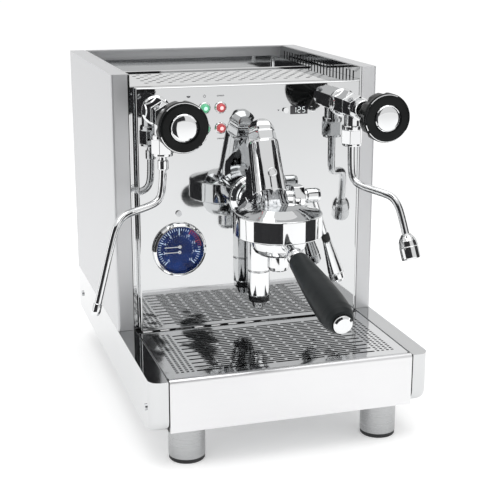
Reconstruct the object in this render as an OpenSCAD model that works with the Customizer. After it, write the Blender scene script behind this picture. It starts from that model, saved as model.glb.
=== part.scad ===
/* [Case] */
// Width across the two side panels
case_w = 300; // [292:1:320]
// Depth from the front flanges to the back panel
case_d = 280; // [276:1:300]
// Height of the side rails' top above the counter
case_h = 378; // [374:1:386]
// Thickness of the folded steel sheets
sheet = 1.5; // [1.2:0.1:1.6]
// Width of each side rail and of each front flange
rail_w = 20; // [19:0.5:22]
// How far the polished splash panel stands in front of the flanges
panel_proud = 11; // [10:0.5:12]
// Radius of the upright front corners of the case
case_corner_r = 3; // [2.5:0.5:6]

/* [Base] */
// Height of the feet, rubber pads included
foot_h = 41; // [38:1:44]
// Diameter of each foot sleeve
foot_d = 38; // [34:1:42]
// Height of the base above the feet
base_h = 55; // [54:0.5:57]
// How far the base reaches in front of the case flanges
base_reach = 161.5; // [158:0.5:165]
// Width of each rounded cover beside the drip drawer
cheek_w = 19; // [18:0.5:19.5]

/* [Brew group] */
// Distance from the case flanges to the middle of the bell
group_reach = 106; // [103:1:108]
// Outer radius of the bell
bell_r = 45; // [44:0.5:46]
// Height of the bell's lower edge above the counter
bell_z = 222; // [220:1:224]
// Lean of the upper column, away from the user
column_lean = 26; // [22:1:28]

/* [Portafilter] */
// Length of the black grip
grip_len = 122; // [110:1:128]
// Downward slope of the handle
grip_slope = 12.5; // [11:0.5:14]

/* [Valves and wands] */
// Distance of each valve from the middle plane
valve_x = 105; // [103:1:107]
// Height of the valve axes
valve_z = 341; // [339:1:342]
// Outer radius of each black knob
knob_r = 25; // [22:1:27]
// Radius of the water wand's tube
wand_r = 4.2; // [3.6:0.1:4.4]

/* [Gauge and lamps] */
// Middle of the gauge, left of the middle plane
gauge_x = -82; // [-84:1:-80]
// Height of the gauge's middle
gauge_z = 188; // [184:1:192]
// Outer radius of the gauge's bezel
gauge_r = 30; // [30:0.5:32]

/* [Hidden] */
$fn = 64;
// Where the case's middle plane and the flange plane lie in the part's own frame,
// whose origin is on the counter under the middle of the whole outline
frame_x = 16.7;
frame_y = 4;

base_z = foot_h;
deck_z = foot_h + base_h;
half_w = case_w / 2;
rail_x = half_w - rail_w;
bay_x = half_w - cheek_w;
panel_x = rail_x - 4;
panel_top = case_h - 13.5;
base_front = -base_reach;
slip = 0.3;
shaft_gap = 0.05;
tube_sides = 16;

bell_y = -group_reach;
bell_h = 23.5;
neck_z = bell_z + 19;
lever_y = -48;
lever_z = neck_z + 6;
lever_tilt = 17.5;
hub_x = 59;
nut_x = 30;

chamber_y = -40;
chamber_r = 12;
chamber_low = 137;

filter_rim_z = bell_z + 12;
handle_y = bell_y - 33;
handle_z = bell_z - 5.5;
neck_len = 28;

body_front = 75;
ball_y = -41;
ball_z = 309;
ball_r = 7.5;
knob_back = 107;
knob_front = 135;

lamp_columns = [-69.5, -52, -34.4];
lamp_rows = [341, 319];
lamp_r = 6.5;
display_x = 54.4;
display_z = 335;
button_columns = [38.8, 70];
button_r = 3;
button_travel = 1.5;

tank_x = 108;
tank_front = 140;
tank_back = 262;
tank_low = 150;
tank_top = 346;
lid_front = 132;
lid_back = 268;
lid_x = 118;
lid_depth = 11;

brew_y = 62;
brew_z = 246;
steam_y = 66;
steam_z = 132;
steam_r = 52;

// Routes of the two wands, seen from the ball downwards
steam_route = [
    [-105, -41, 309], [-106, -39, 262], [-109, -40, 254], [-117, -43, 248],
    [-138, -50, 244], [-150, -56, 241], [-158, -62, 235], [-163, -65, 226], [-184, -77.5, 156]
];
water_route = [
    [105, -41, 309], [105.5, -42, 270], [107, -45, 262], [112, -54, 257],
    [128, -75, 252], [136, -84, 248], [140, -91, 240], [142, -97, 228], [144, -104, 211]
];

// Helpers --------------------------------------------------------------

// Box given by its two opposite corners
module block(low, high) {
    translate(low)
        cube(high - low);
}

// Straight round bar along Y, from y0 to y1
module bar_y(x, z, r, y0, y1) {
    translate([x, y0, z])
        rotate([-90, 0, 0])
            cylinder(r = r, h = y1 - y0);
}

// Straight round bar along X, from x0 to x1
module bar_x(y, z, r, x0, x1) {
    translate([x0, y, z])
        rotate([0, 90, 0])
            cylinder(r = r, h = x1 - x0);
}

// Straight round bar along Z, from z0 to z1
module bar_z(x, y, r, z0, z1) {
    translate([x, y, z0])
        cylinder(r = r, h = z1 - z0);
}

// Hexagon prism with the given width across its flats
module hexagon(flats, h) {
    cylinder(r = flats / sqrt(3), h = h, $fn = 6);
}

// Rectangle with its corner at [0, 0] cut round, the rest square
module one_round_corner(w, h, r) {
    translate([r, 0])
        square([w - r, h]);
    translate([0, r])
        square([w, h - r]);
    translate([r, r])
        circle(r = r);
}

function unit(v) = v / norm(v);

// Direction of a line of points at its point number i
function heading(points, i) =
    unit(points[min(i + 1, len(points) - 1)] - points[max(i - 1, 0)]);

// Ring of points round a line, where across is a direction that the line never takes
function ring(middle, along, r, across) =
    let (u = unit(cross(across, along)), v = cross(along, u))
    [for (k = [0 : tube_sides - 1])
        middle + r * (cos(k * 360 / tube_sides) * u + sin(k * 360 / tube_sides) * v)];

// Closed round bar through the given stations, each a point and the radius there
module swept_bar(stations, across) {
    line = [for (station = stations) station[0]];
    n = tube_sides;
    last = len(line) - 1;
    points = [
        for (i = [0 : last])
            each ring(line[i], heading(line, i), stations[i][1], across)
    ];
    walls = [
        for (i = [0 : last - 1])
            for (k = [0 : n - 1])
                let (a = i * n + k, b = i * n + (k + 1) % n)
                each [[a, a + n, b + n], [a, b + n, b]]
    ];
    low_end = [for (k = [0 : n - 1]) k];
    high_end = [for (k = [0 : n - 1]) last * n + n - 1 - k];
    polyhedron(points = points, faces = concat([low_end], walls, [high_end]));
}

// Stations of a wand's tube, which starts inside the ball at the top of its route
function tube_stations(route, r) =
    let (start = route[0] + 2 * unit(route[1] - route[0]))
    concat([[start, r]], [for (i = [1 : len(route) - 1]) [route[i], r]]);

// Frame at the end of a route: the origin at its last point, Z onwards along it
module at_end(route) {
    last = len(route) - 1;
    run = route[last] - route[last - 1];
    translate(route[last])
        rotate([0, acos(run[2] / norm(run)), atan2(run[1], run[0])])
            children();
}

// Frame of the handle: the origin at the bowl, Z along the handle towards the user
module on_handle(distance) {
    translate([0, handle_y, handle_z])
        rotate([90 + grip_slope, 0, 0])
            translate([0, 0, distance])
                children();
}

// Frame of the lever: the origin at the cam shaft, Z down along the rod
module on_lever(distance) {
    translate([hub_x, lever_y, lever_z])
        rotate([0, 180 - lever_tilt, 0])
            translate([0, 0, distance])
                children();
}

// Frame of the leaning column: the origin at its foot on the bell, Z along the column
module on_column(distance) {
    translate([0, bell_y + 24, bell_z + bell_h + 2.5])
        rotate([-column_lean, 0, 0])
            translate([0, 0, distance])
                children();
}

// Shift from the case's middle plane to the part's own frame
module placed() {
    translate([frame_x, frame_y, 0])
        children();
}

// Case -----------------------------------------------------------------

module chassis_pan() {
    wall_top = deck_z - 1.5;
    color("gainsboro") {
        difference() {
            block([-bay_x, base_front + 11.5, base_z], [bay_x, case_d - sheet, base_z + 2]);
            // openings over the rear part for cooling air
            for (i = [-4 : 4])
                block([i * 22 - 6, 120, base_z - 1], [i * 22 + 6, 200, base_z + 3]);
        }
        for (side = [-1, 1]) {
            outer = side * bay_x;
            inner = side * (bay_x - sheet);
            block([min(outer, inner), base_front + 11.5, base_z + 2],
                  [max(outer, inner), case_d - sheet, wall_top]);
        }
        block([-bay_x + sheet, -9.5, base_z + 2], [bay_x - sheet, -8, wall_top]);
        block([-bay_x + sheet, case_d - 2 * sheet, base_z + 2],
              [bay_x - sheet, case_d - sheet, wall_top]);
        // saddles under the steam boiler
        for (x = [-60, 57])
            difference() {
                block([x, steam_y - 40, base_z + 2], [x + 3, steam_y + 40, steam_z - 30]);
                bar_x(steam_y, steam_z, steam_r + slip, x - 1, x + 4);
            }
        // shelf under the water tank, on four legs
        block([-tank_x - 4, tank_front - 2, tank_low - 2],
              [tank_x + 4, tank_back + 2, tank_low]);
        for (side = [0, 1])
            mirror([side, 0, 0])
                for (y = [tank_front - 2, tank_back])
                    block([-tank_x - 4, y, base_z + 2], [-tank_x - 2, y + 2, tank_low - 2]);
    }
}

module cheek_solid(wall) {
    front = base_front + wall;
    width = cheek_w - wall;
    low = base_z + wall;
    tall = base_h - 2 * wall;
    long = case_d - front - wall;
    corner = 12 - wall;
    chin = 15 - wall;
    intersection() {
        // plan: upright front corner
        translate([-half_w + wall, front, low])
            linear_extrude(height = tall)
                one_round_corner(width + wall, long, corner);
        // side view: rounded lower front corner
        translate([-half_w - 1, front, low])
            rotate([90, 0, 90])
                linear_extrude(height = width + 2 * wall + 1)
                    one_round_corner(long, tall, chin);
    }
}

module base_cheeks() {
    color("silver")
        for (side = [0, 1])
            mirror([side, 0, 0])
                difference() {
                    cheek_solid(0);
                    cheek_solid(sheet);
                }
}

module side_panel() {
    low = deck_z + 0.2;
    slot_count = 24;
    slot_pitch = (case_d - 30) / slot_count;
    difference() {
        translate([-half_w, 0, low])
            linear_extrude(height = case_h - low)
                one_round_corner(rail_w, case_d, case_corner_r);
        // hollow behind the outer skin, closed at the top and at the front
        translate([-half_w + sheet, sheet, low - 1])
            linear_extrude(height = case_h - low - sheet + 1)
                one_round_corner(rail_w - 2 * sheet, case_d - 2 * sheet, case_corner_r - sheet);
        // below the rail the inner side is open, behind a narrow fold
        block([-rail_x - sheet - 1, 16, low - 1], [-rail_x + 1, case_d - 16, case_h - 34]);
        // air slots through the rail's inner wall
        for (i = [0 : slot_count - 1])
            block([-rail_x - sheet - 1, 18 + i * slot_pitch, case_h - 27],
                  [-rail_x + 1, 22 + i * slot_pitch, case_h - 7]);
    }
}

module left_side_panel() {
    color("silver")
        side_panel();
}

module right_side_panel() {
    color("silver")
        mirror([1, 0, 0])
            side_panel();
}

module back_panel() {
    louvre_count = 9;
    color("silver")
        difference() {
            union() {
                block([-rail_x + 0.2, case_d - sheet, deck_z + 0.2],
                      [rail_x - 0.2, case_d, case_h]);
                block([-rail_x + 0.2, case_d - 9, case_h - sheet],
                      [rail_x - 0.2, case_d - sheet, case_h]);
            }
            for (i = [0 : louvre_count - 1])
                block([-90, case_d - 5, 190 + i * 16], [90, case_d + 1, 195 + i * 16]);
            // cut-out for the inlet
            block([-104, case_d - 5, 112], [-58, case_d + 1, 140]);
        }
}

module front_panel() {
    face = -panel_proud;
    low = deck_z + 0.2;
    color("gainsboro")
        difference() {
            union() {
                block([-panel_x, face, low], [panel_x, face + sheet, panel_top]);
                block([-panel_x, face + sheet, panel_top - sheet], [panel_x, -5, panel_top]);
                for (side = [0, 1])
                    mirror([side, 0, 0]) {
                        block([-panel_x, face + sheet, low],
                              [-panel_x + sheet, sheet + 1.7, panel_top - sheet]);
                        block([-rail_x + 0.2, sheet + 0.2, low],
                              [-panel_x, sheet + 1.7, panel_top - sheet]);
                    }
            }
            // holes for the group, the valves, the gauge, the lamps and the display
            bar_y(0, neck_z, 20.5, face - 1, face + 3);
            for (side = [-1, 1])
                bar_y(side * valve_x, valve_z, 7.3, face - 1, face + 3);
            bar_y(gauge_x, gauge_z, 27.2, face - 1, face + 3);
            for (x = lamp_columns)
                for (z = lamp_rows)
                    bar_y(x, z, 5.7, face - 1, face + 3);
            block([display_x - 10, face - 1, display_z - 5],
                  [display_x + 10, face + 3, display_z + 5]);
            for (x = button_columns)
                bar_y(x, display_z, button_r + 0.3, face - 1, face + 3);
            bar_y(gauge_x, gauge_z + 40, 2.2, face - 1, face + 3);
        }
}

module cup_deck() {
    deck_front = -4.5;
    column_step = 6.6;
    row_step = 22;
    color("gainsboro")
        difference() {
            block([-rail_x + 0.2, deck_front, panel_top - sheet],
                  [rail_x - 0.2, case_d - sheet - 0.2, panel_top]);
            // staggered small holes over the boilers
            for (column = [-16 : 16])
                for (row = [0 : 3])
                    bar_z(column * column_step,
                          30 + row * row_step + (abs(column) % 2) * row_step / 2,
                          2.3, panel_top - 3, panel_top + 1);
            block([-lid_x, lid_front, panel_top - 3], [lid_x, lid_back, panel_top + 1]);
        }
}

module tank_lid() {
    edge = 0.5;
    wall = 1.2;
    color("gainsboro") {
        difference() {
            block([-lid_x + edge, lid_front + edge, panel_top - lid_depth],
                  [lid_x - edge, lid_back - edge, panel_top + 0.2]);
            block([-lid_x + edge + wall, lid_front + edge + wall, panel_top - lid_depth + wall],
                  [lid_x - edge - wall, lid_back - edge - wall, panel_top + 1]);
        }
        // rim that rests on the deck
        difference() {
            block([-lid_x - 4, lid_front - 4, panel_top + 0.2],
                  [lid_x + 4, lid_back + 4, panel_top + 1.4]);
            block([-lid_x + edge + wall, lid_front + edge + wall, panel_top - 1],
                  [lid_x - edge - wall, lid_back - edge - wall, panel_top + 2]);
        }
    }
}

function foot_places() = [
    for (x = [-106, 106])
        for (y = [base_front + 30.5, case_d - 40])
            [x, y]
];

module feet() {
    color("silver")
        for (place = foot_places())
            bar_z(place[0], place[1], foot_d / 2, 3.5, foot_h);
}

module foot_pads() {
    color("black")
        for (place = foot_places())
            bar_z(place[0], place[1], foot_d / 2 - 0.5, 0, 3.5);
}

module case_screws() {
    color("dimgray") {
        // cheek screws
        for (side = [-1, 1])
            for (y = [base_front + 19, case_d - 30])
                bar_x(y, 65, 3.5, side > 0 ? half_w : -half_w - 1.6,
                      side > 0 ? half_w + 1.6 : -half_w);
        // back panel screws
        for (x = [-122, 122])
            for (z = [deck_z + 12, case_h - 20])
                bar_y(x, z, 3.5, case_d, case_d + 1.8);
        // panel screw above the gauge
        bar_y(gauge_x, gauge_z + 40, 3.2, -panel_proud - 2, -panel_proud);
        bar_y(gauge_x, gauge_z + 40, 1.9, -panel_proud, -panel_proud + 8);
    }
}

// Drip tray --------------------------------------------------------------

pan_low = base_z + 2.4;
pan_top = deck_z - 6;

module drawer_pan() {
    wall = 1.2;
    front = base_front + sheet;
    back = -13;
    side = bay_x - 10;
    color("gainsboro")
        difference() {
            union() {
                block([-side, front, pan_low], [side, back, pan_top]);
                block([-side - 7, front + 9.5, pan_top - wall], [side + 7, back, pan_top]);
            }
            block([-side + wall, front + wall, pan_low + wall],
                  [side - wall, back - wall, pan_top + 1]);
        }
}

module drawer_front() {
    roll_r = 4;
    top = deck_z + 1;
    front = base_front;
    color("whitesmoke") {
        block([-bay_x + slip, front, base_z], [bay_x - slip, front + sheet, top - roll_r]);
        // rolled top edge
        translate([-bay_x + slip, front + roll_r, top - roll_r])
            rotate([90, 0, 90])
                linear_extrude(height = 2 * (bay_x - slip))
                    difference() {
                        circle(r = roll_r);
                        circle(r = roll_r - sheet);
                        translate([-roll_r - 1, -roll_r - 1])
                            square([2 * roll_r + 2, roll_r + 1]);
                    }
        block([-bay_x + slip, front + 2 * roll_r - sheet, top - roll_r - 2.5],
              [bay_x - slip, front + 2 * roll_r, top - roll_r]);
    }
}

module drip_grille() {
    side = bay_x - slip - 1.5;
    front = base_front + 8.5;
    back = -12;
    slot_rows = 12;
    row_pitch = 10;
    slot_len = 24;
    slot_pitch = 28;
    color("gainsboro")
        difference() {
            union() {
                block([-side, front, deck_z - 1.5], [side, back, deck_z]);
                // skirt that stands on the pan's rim
                difference() {
                    block([-side + 2, front + 4, pan_top + 0.2],
                          [side - 2, back, deck_z - 1.5]);
                    block([-side + 3.5, front + 5.5, pan_top - 1],
                          [side - 3.5, back - 1.5, deck_z]);
                }
            }
            // long slots in the middle, staggered from row to row
            for (row = [0 : slot_rows - 1])
                for (column = [-3 : 3 - row % 2])
                    translate([column * slot_pitch + (row % 2) * slot_pitch / 2,
                               front + 16 + row * row_pitch, deck_z - 3])
                        translate([-slot_len / 2, -1.6, 0])
                            cube([slot_len, 3.2, 5]);
        }
}

// Brew group -------------------------------------------------------------

module group_body() {
    bell_top = bell_z + bell_h;
    color("lightgray")
        difference() {
            union() {
                // flange on the splash panel and neck
                bar_y(0, neck_z, 25, -16, -panel_proud);
                bar_y(0, neck_z, 19.8, -panel_proud, 10);
                bar_y(0, neck_z, 19, bell_y + 24, -16);
                bar_z(0, bell_y, bell_r, bell_z, bell_top);
                // boss over the infusion chamber
                bar_z(0, chamber_y, chamber_r + 2, bell_z - 1, neck_z);
                // leaning column
                on_column(-14)
                    cylinder(r1 = 17, r2 = 16.5, h = 26.5);
                on_column(12.5)
                    cylinder(r1 = 17.8, r2 = 16, h = 55.5);
                translate([0, bell_y, bell_top - 0.5])
                    cylinder(r1 = bell_r - 2, r2 = 22, h = 6.5);
                // pointed rib behind the column
                translate([0, -40, bell_z])
                    rotate([90, 0, 0])
                        linear_extrude(height = 24)
                            polygon([[-15, 0], [15, 0], [15, 51], [9, 64], [0, 75], [-9, 64], [-15, 51]]);
                // socket of the cam shaft
                bar_x(lever_y, lever_z, 14, 0, 22);
                bar_x(lever_y, lever_z, 8, 22, nut_x);
            }
            // room for the gasket and the portafilter's rim
            bar_z(0, bell_y, 39, bell_z + 3.5, bell_z + 17);
            bar_z(0, bell_y, 35.6, bell_z - 1, bell_z + 4);
            // two notches that let the portafilter's ears in
            for (side = [0, 180])
                translate([0, bell_y, bell_z - 1])
                    rotate([0, 0, side + 90])
                        translate([0, -8, 0])
                            cube([38.8, 16, 6]);
            // cam shaft bore
            bar_x(lever_y, lever_z, 6 + shaft_gap, -1, nut_x + 1);
        }
}

module group_cap() {
    color("lightgray")
        on_column(68) {
            hexagon(26, 10);
            translate([0, 0, 10])
                cylinder(r = 15, h = 7);
            translate([0, 0, 17])
                cylinder(r1 = 15, r2 = 7, h = 8);
        }
}

module group_side_plug() {
    color("lightgray")
        translate([-26, bell_y + 25, bell_z + bell_h + 2.5])
            rotate([0, -60, 20]) {
                hexagon(13, 7);
                translate([0, 0, -10])
                    cylinder(r = 5, h = 10);
            }
}

module infusion_chamber() {
    top = bell_z - 1;
    color("lightgray")
        difference() {
            union() {
                bar_z(0, chamber_y, chamber_r, chamber_low, top);
                translate([0, chamber_y, chamber_low - 6])
                    rotate([0, 0, 30])
                        hexagon(20, 7);
                translate([0, chamber_y, chamber_low - 14])
                    cylinder(r1 = 6, r2 = 8.5, h = 9);
            }
            // hollow of the chamber and the way out through the nozzle
            bar_z(0, chamber_y, chamber_r - 3, chamber_low + 2, top - 4);
            bar_z(0, chamber_y, 3, chamber_low - 15, chamber_low + 3);
            // groove between the upper and the lower barrel
            difference() {
                bar_z(0, chamber_y, chamber_r + 1, 165.4, 166.6);
                bar_z(0, chamber_y, chamber_r - 0.8, 165, 167);
            }
        }
}

module cam_nut() {
    color("lightgray")
        difference() {
            union() {
                bar_x(lever_y, lever_z, 8, nut_x, 34);
                translate([34, lever_y, lever_z])
                    rotate([0, 90, 0])
                        hexagon(24, 12);
            }
            bar_x(lever_y, lever_z, 6 + shaft_gap, nut_x - 1, 50);
        }
}

module lever_shaft() {
    color("lightgray") {
        bar_x(lever_y, lever_z, 6, 4, 52);
        bar_x(lever_y, lever_z, 8, 50.5, 66);
        on_lever(8)
            cylinder(r = 3.2, h = 38);
    }
}

module lever_collar() {
    color("black")
        on_lever(46)
            cylinder(r = 4.6, h = 9);
}

module lever_grip() {
    color("lightgray")
        on_lever(55)
            rotate_extrude()
                polygon([[0, 0], [4.6, 0], [8.6, 38], [8.2, 39], [8.4, 44], [6.5, 48], [0, 49]]);
}

module group_gasket() {
    color("black")
        difference() {
            bar_z(0, bell_y, 36.5, bell_z + 13.3, bell_z + 17);
            bar_z(0, bell_y, 28.5, bell_z + 13, bell_z + 18);
        }
}

module shower_screen() {
    color("silver")
        difference() {
            bar_z(0, bell_y, 28, bell_z + 13.5, bell_z + 17);
            bar_z(0, bell_y, 26.5, bell_z + 14.5, bell_z + 18);
        }
}

// Portafilter ------------------------------------------------------------

module portafilter_body() {
    rim = filter_rim_z;
    color("lightgray")
        difference() {
            union() {
                translate([0, bell_y, bell_z])
                    rotate_extrude()
                        polygon([
                            [0, -21], [13, -21], [22, -19], [26.5, -15], [28.7, -9], [29.3, -5],
                            [33, -2], [34.3, 0], [34.3, 12], [0, 12]
                        ]);
                // ears that lock over the bell's inner lip
                intersection() {
                    bar_z(0, bell_y, 38.4, bell_z + 3.8, bell_z + 8.8);
                    block([-40, bell_y - 7, bell_z], [40, bell_y + 7, bell_z + 20]);
                }
                on_handle(-5)
                    cylinder(r = 5, h = neck_len + 5);
                on_handle(neck_len - 14)
                    cylinder(r1 = 7, r2 = 9, h = 12);
            }
            // seat of the filter basket and the way out below it
            translate([0, bell_y, bell_z])
                rotate_extrude()
                    polygon([
                        [0, -19], [18, -17], [25.5, -14.7], [27, -13], [27.5, -7], [31.4, -0.7],
                        [32.2, 0.5], [32.2, 13], [0, 13]
                    ]);
            bar_z(0, bell_y, 4, bell_z - 22, bell_z - 17);
        }
}

module filter_basket() {
    color("silver")
        translate([0, bell_y, bell_z])
            difference() {
                rotate_extrude()
                    polygon([
                        [0, -12.5], [25.5, -12.5], [26.3, -7], [30.8, -0.5], [31, 1], [31, 12],
                        [34.5, 12], [34.5, 13], [30, 13], [30, 1.3], [29.8, 0], [25.3, -6.6],
                        [24.5, -11.5], [0, -11.5]
                    ]);
                for (ring = [1 : 4])
                    for (step = [0 : 6 * ring - 1])
                        rotate([0, 0, step * 60 / ring])
                            translate([5.5 * ring, 0, -13])
                                cylinder(r = 0.8, h = 2);
            }
}

module portafilter_spout() {
    color("lightgray")
        translate([0, bell_y, bell_z])
            rotate_extrude()
                polygon([
                    [8, -38], [9.2, -37.5], [10.3, -36], [10.8, -33.5], [10.8, -21], [3.5, -21],
                    [3.5, -30], [8, -30]
                ]);
}

module portafilter_grip() {
    color([0.1, 0.1, 0.1])
        on_handle(neck_len)
            difference() {
                rotate_extrude()
                    polygon([
                        [0, 0], [9, 0], [10.5, 3], [11.5, 18], [13.5, 45], [15.2, 80],
                        [15.7, 104], [15, grip_len - 12], [13, grip_len - 4],
                        [10, grip_len], [0, grip_len]
                    ]);
                translate([0, 0, grip_len - 4])
                    cylinder(r = 8, h = 6);
            }
}

module grip_end_cap() {
    color("lightgray")
        on_handle(neck_len + grip_len - 4)
            rotate_extrude()
                polygon([[0, 0], [8, 0], [8, 4], [9.2, 4], [9, 6], [7, 7.5], [0, 8]]);
}

// Valves and wands ---------------------------------------------------------

module valve(side) {
    x = side * valve_x;
    color("lightgray")
        difference() {
            union() {
                bar_y(x, valve_z, 7, -panel_proud, 24);
                translate([x, -panel_proud, valve_z])
                    rotate([90, 0, 0])
                        hexagon(25, body_front - panel_proud - 12);
                bar_y(x, valve_z, 10.5, -body_front, -body_front + 12);
                bar_z(x, ball_y, 9, 316, valve_z);
                translate([x, ball_y, 300])
                    hexagon(21, 16);
            }
            // stem bore
            bar_y(x, valve_z, 4 + shaft_gap, -body_front - 1, -body_front + 20);
            // ball socket, its mouth and the steam passage
            bar_z(x, ball_y, 8.6, 302, 316);
            bar_z(x, ball_y, 7.2, 299, 303);
            bar_z(x, ball_y, 3.2, 315, valve_z);
        }
}

module steam_valve() {
    valve(-1);
}

module water_valve() {
    valve(1);
}

module knob(side) {
    lobes = 8;
    x = side * valve_x;
    color([0.08, 0.08, 0.08])
        difference() {
            union() {
                bar_y(x, valve_z, 4, -body_front, -body_front + 14);
                bar_y(x, valve_z, 6.5, -knob_back, -body_front);
                // neck of the knob widening to its rim
                translate([x, -knob_back + 20, valve_z])
                    rotate([90, 0, 0])
                        cylinder(r1 = 9, r2 = knob_r - 3, h = 20);
                bar_y(x, valve_z, knob_r, -knob_front, -knob_back);
            }
            // hollow flutes around the rim
            for (i = [0 : lobes - 1])
                translate([x, 0, valve_z])
                    rotate([0, i * 360 / lobes + 22.5, 0])
                        translate([knob_r + 3.5, -knob_front + 10, 0])
                            rotate([-90, 0, 0])
                                cylinder(r = 6, h = 40);
            bar_y(x, valve_z, 14, -knob_front - 1, -knob_front + 4);
        }
}

module knob_cap(side) {
    x = side * valve_x;
    color("lightgray")
        translate([x, -knob_front + 4, valve_z])
            rotate([90, 0, 0])
                rotate_extrude()
                    polygon([[0, 0], [13.7, 0], [13.7, 4.2], [12.5, 5], [0, 5.8]]);
}

module steam_knob() {
    knob(-1);
}

module water_knob() {
    knob(1);
}

module steam_knob_cap() {
    knob_cap(-1);
}

module water_knob_cap() {
    knob_cap(1);
}

module ball_seal(side) {
    color("white")
        difference() {
            bar_z(side * valve_x, ball_y, 8.3, 313.8, 315.8);
            bar_z(side * valve_x, ball_y, 6.3, 313, 317);
        }
}

module steam_ball_seal() {
    ball_seal(-1);
}

module water_ball_seal() {
    ball_seal(1);
}

module steam_wand() {
    r = 3.8;
    last = len(steam_route) - 1;
    end = steam_route[last];
    onward = heading(steam_route, last);
    // the last stations are the small cone with the steam holes
    tip = [[end + 8 * onward, 5], [end + 13 * onward, 3.4]];
    color("lightgray") {
        translate(steam_route[0])
            sphere(r = ball_r);
        swept_bar(concat(tube_stations(steam_route, r), tip), [0, 1, 0]);
    }
}

module water_wand() {
    color("lightgray") {
        translate(water_route[0])
            sphere(r = ball_r);
        swept_bar(tube_stations(water_route, wand_r), [0, 1, 0]);
    }
}

module water_tip() {
    color("lightgray")
        at_end(water_route)
            difference() {
                rotate_extrude()
                    polygon([
                        [0, 0], [6, 0], [8.6, 4], [10.2, 9], [11, 14], [10.6, 14.4],
                        [10.6, 26], [9, 28], [0, 28]
                    ]);
                translate([0, 0, 20])
                    cylinder(r = 7.5, h = 9);
            }
}

// Gauge --------------------------------------------------------------------

needle_len = 17;
needle_split = 3.2;

module gauge_case() {
    face = -panel_proud;
    color("lightgray")
        difference() {
            union() {
                bar_y(gauge_x, gauge_z, gauge_r, face - 6.5, face);
                bar_y(gauge_x, gauge_z, 27, face, 14);
            }
            bar_y(gauge_x, gauge_z, 26, face - 8, 12.5);
        }
}

module gauge_dial() {
    face = -panel_proud;
    color("navy") {
        bar_y(gauge_x, gauge_z, 25.8, face - 0.8, face);
        bar_y(gauge_x, gauge_z + needle_split, 0.5, face - 3.6, face - 0.8);
        bar_y(gauge_x, gauge_z - needle_split, 0.5, face - 2.2, face - 0.8);
    }
}

module gauge_glass() {
    face = -panel_proud;
    color([0.8, 0.9, 1, 0.3])
        bar_y(gauge_x, gauge_z, 25.8, face - 6, face - 4.6);
}

// Needle with its boss on the pivot, pointing left at rest
module needle(z, front) {
    color("white")
        difference() {
            union() {
                bar_y(gauge_x, z, 1.8, front, front + 0.8);
                block([gauge_x - needle_len, front, z - 0.4], [gauge_x, front + 0.5, z + 0.4]);
            }
            bar_y(gauge_x, z, 0.5 + shaft_gap, front - 1, front + 2);
        }
}

module brew_needle() {
    needle(gauge_z + needle_split, -panel_proud - 3.5);
}

module boiler_needle() {
    needle(gauge_z - needle_split, -panel_proud - 2.1);
}

// Lamps and display ----------------------------------------------------------

module lamp_bezels() {
    face = -panel_proud;
    color("silver")
        for (x = lamp_columns)
            for (z = lamp_rows)
                difference() {
                    union() {
                        bar_y(x, z, lamp_r, face - 2.5, face);
                        bar_y(x, z, 5.5, face, face + 18);
                    }
                    bar_y(x, z, 4.8, face - 3, face + 4);
                }
}

module lenses(columns) {
    face = -panel_proud;
    for (x = columns)
        for (z = lamp_rows) {
            bar_y(x, z, 4.7, face - 3.5, face + 4);
            intersection() {
                bar_y(x, z, 4.7, face - 6, face - 3.5);
                translate([x, face + 0.5, z])
                    sphere(r = 6.2);
            }
        }
}

module clear_lenses() {
    color([0.9, 0.9, 0.9, 0.6])
        lenses([lamp_columns[0]]);
}

module green_lenses() {
    color("limegreen")
        lenses([lamp_columns[1]]);
}

module red_lenses() {
    color("red")
        lenses([lamp_columns[2]]);
}

module display_module() {
    face = -panel_proud;
    color([0.05, 0.05, 0.05]) {
        block([display_x - 9.8, face - 0.6, display_z - 4.7],
              [display_x + 9.8, -5, display_z + 4.7]);
        block([display_x - 22, -5, display_z - 14], [display_x + 22, 6, display_z + 14]);
    }
}

module button(x) {
    color("silver")
        bar_y(x, display_z, button_r, -panel_proud - 2.5, -5 - button_travel - 0.3);
}

module left_button() {
    button(button_columns[0]);
}

module right_button() {
    button(button_columns[1]);
}

// Inside -----------------------------------------------------------------------

// Round boiler lying along X, with flat ends and a heater flange at its left
module boiler(y, z, r, half_len, wall) {
    difference() {
        union() {
            bar_x(y, z, r, -half_len, half_len);
            bar_x(y, z, r * 0.6, -half_len - 6, -half_len);
        }
        bar_x(y, z, r - wall, -half_len + wall, half_len - wall);
    }
}

module brew_boiler() {
    color("peru")
        boiler(brew_y, brew_z, 40, 70, 2);
}

module steam_boiler() {
    color("peru")
        boiler(steam_y, steam_z, steam_r, 95, 2);
}

module boiler_pipes() {
    color("peru") {
        // two pipes from the brew boiler to the group
        for (x = [-10, 10])
            bar_y(x, neck_z, 4, 10, brew_y - 39);
        // steam and hot water pipes from the steam boiler to the valves
        for (side = [-1, 1])
            swept_bar([
                [[side * 84, steam_y, steam_z + 51], 3],
                [[side * 84, steam_y, 295], 3],
                [[side * 86, steam_y - 4, 306], 3],
                [[side * 103, 35, valve_z - 4], 3],
                [[side * valve_x, 30, valve_z], 3],
                [[side * valve_x, 24, valve_z], 3]
            ], [1, 0, 0]);
    }
}

module pump() {
    floor_z = base_z + 2;
    color("dimgray") {
        // motor, with its foot
        bar_x(205, 98, 42, -60, 70);
        block([-40, 180, floor_z], [50, 230, 62]);
    }
    color("goldenrod") {
        // pump head
        bar_x(205, 98, 24, -100, -60);
        bar_z(-84, 205, 7, 70, 130);
    }
}

module water_tank() {
    wall = 2.5;
    color([0.85, 0.9, 0.95, 0.5])
        difference() {
            block([-tank_x, tank_front, tank_low], [tank_x, tank_back, tank_top]);
            block([-tank_x + wall, tank_front + wall, tank_low + wall],
                  [tank_x - wall, tank_back - wall, tank_top + 1]);
        }
}

module control_box() {
    color("dimgray")
        block([-72, 22, 300], [72, 108, panel_top - sheet]);
}

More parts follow.
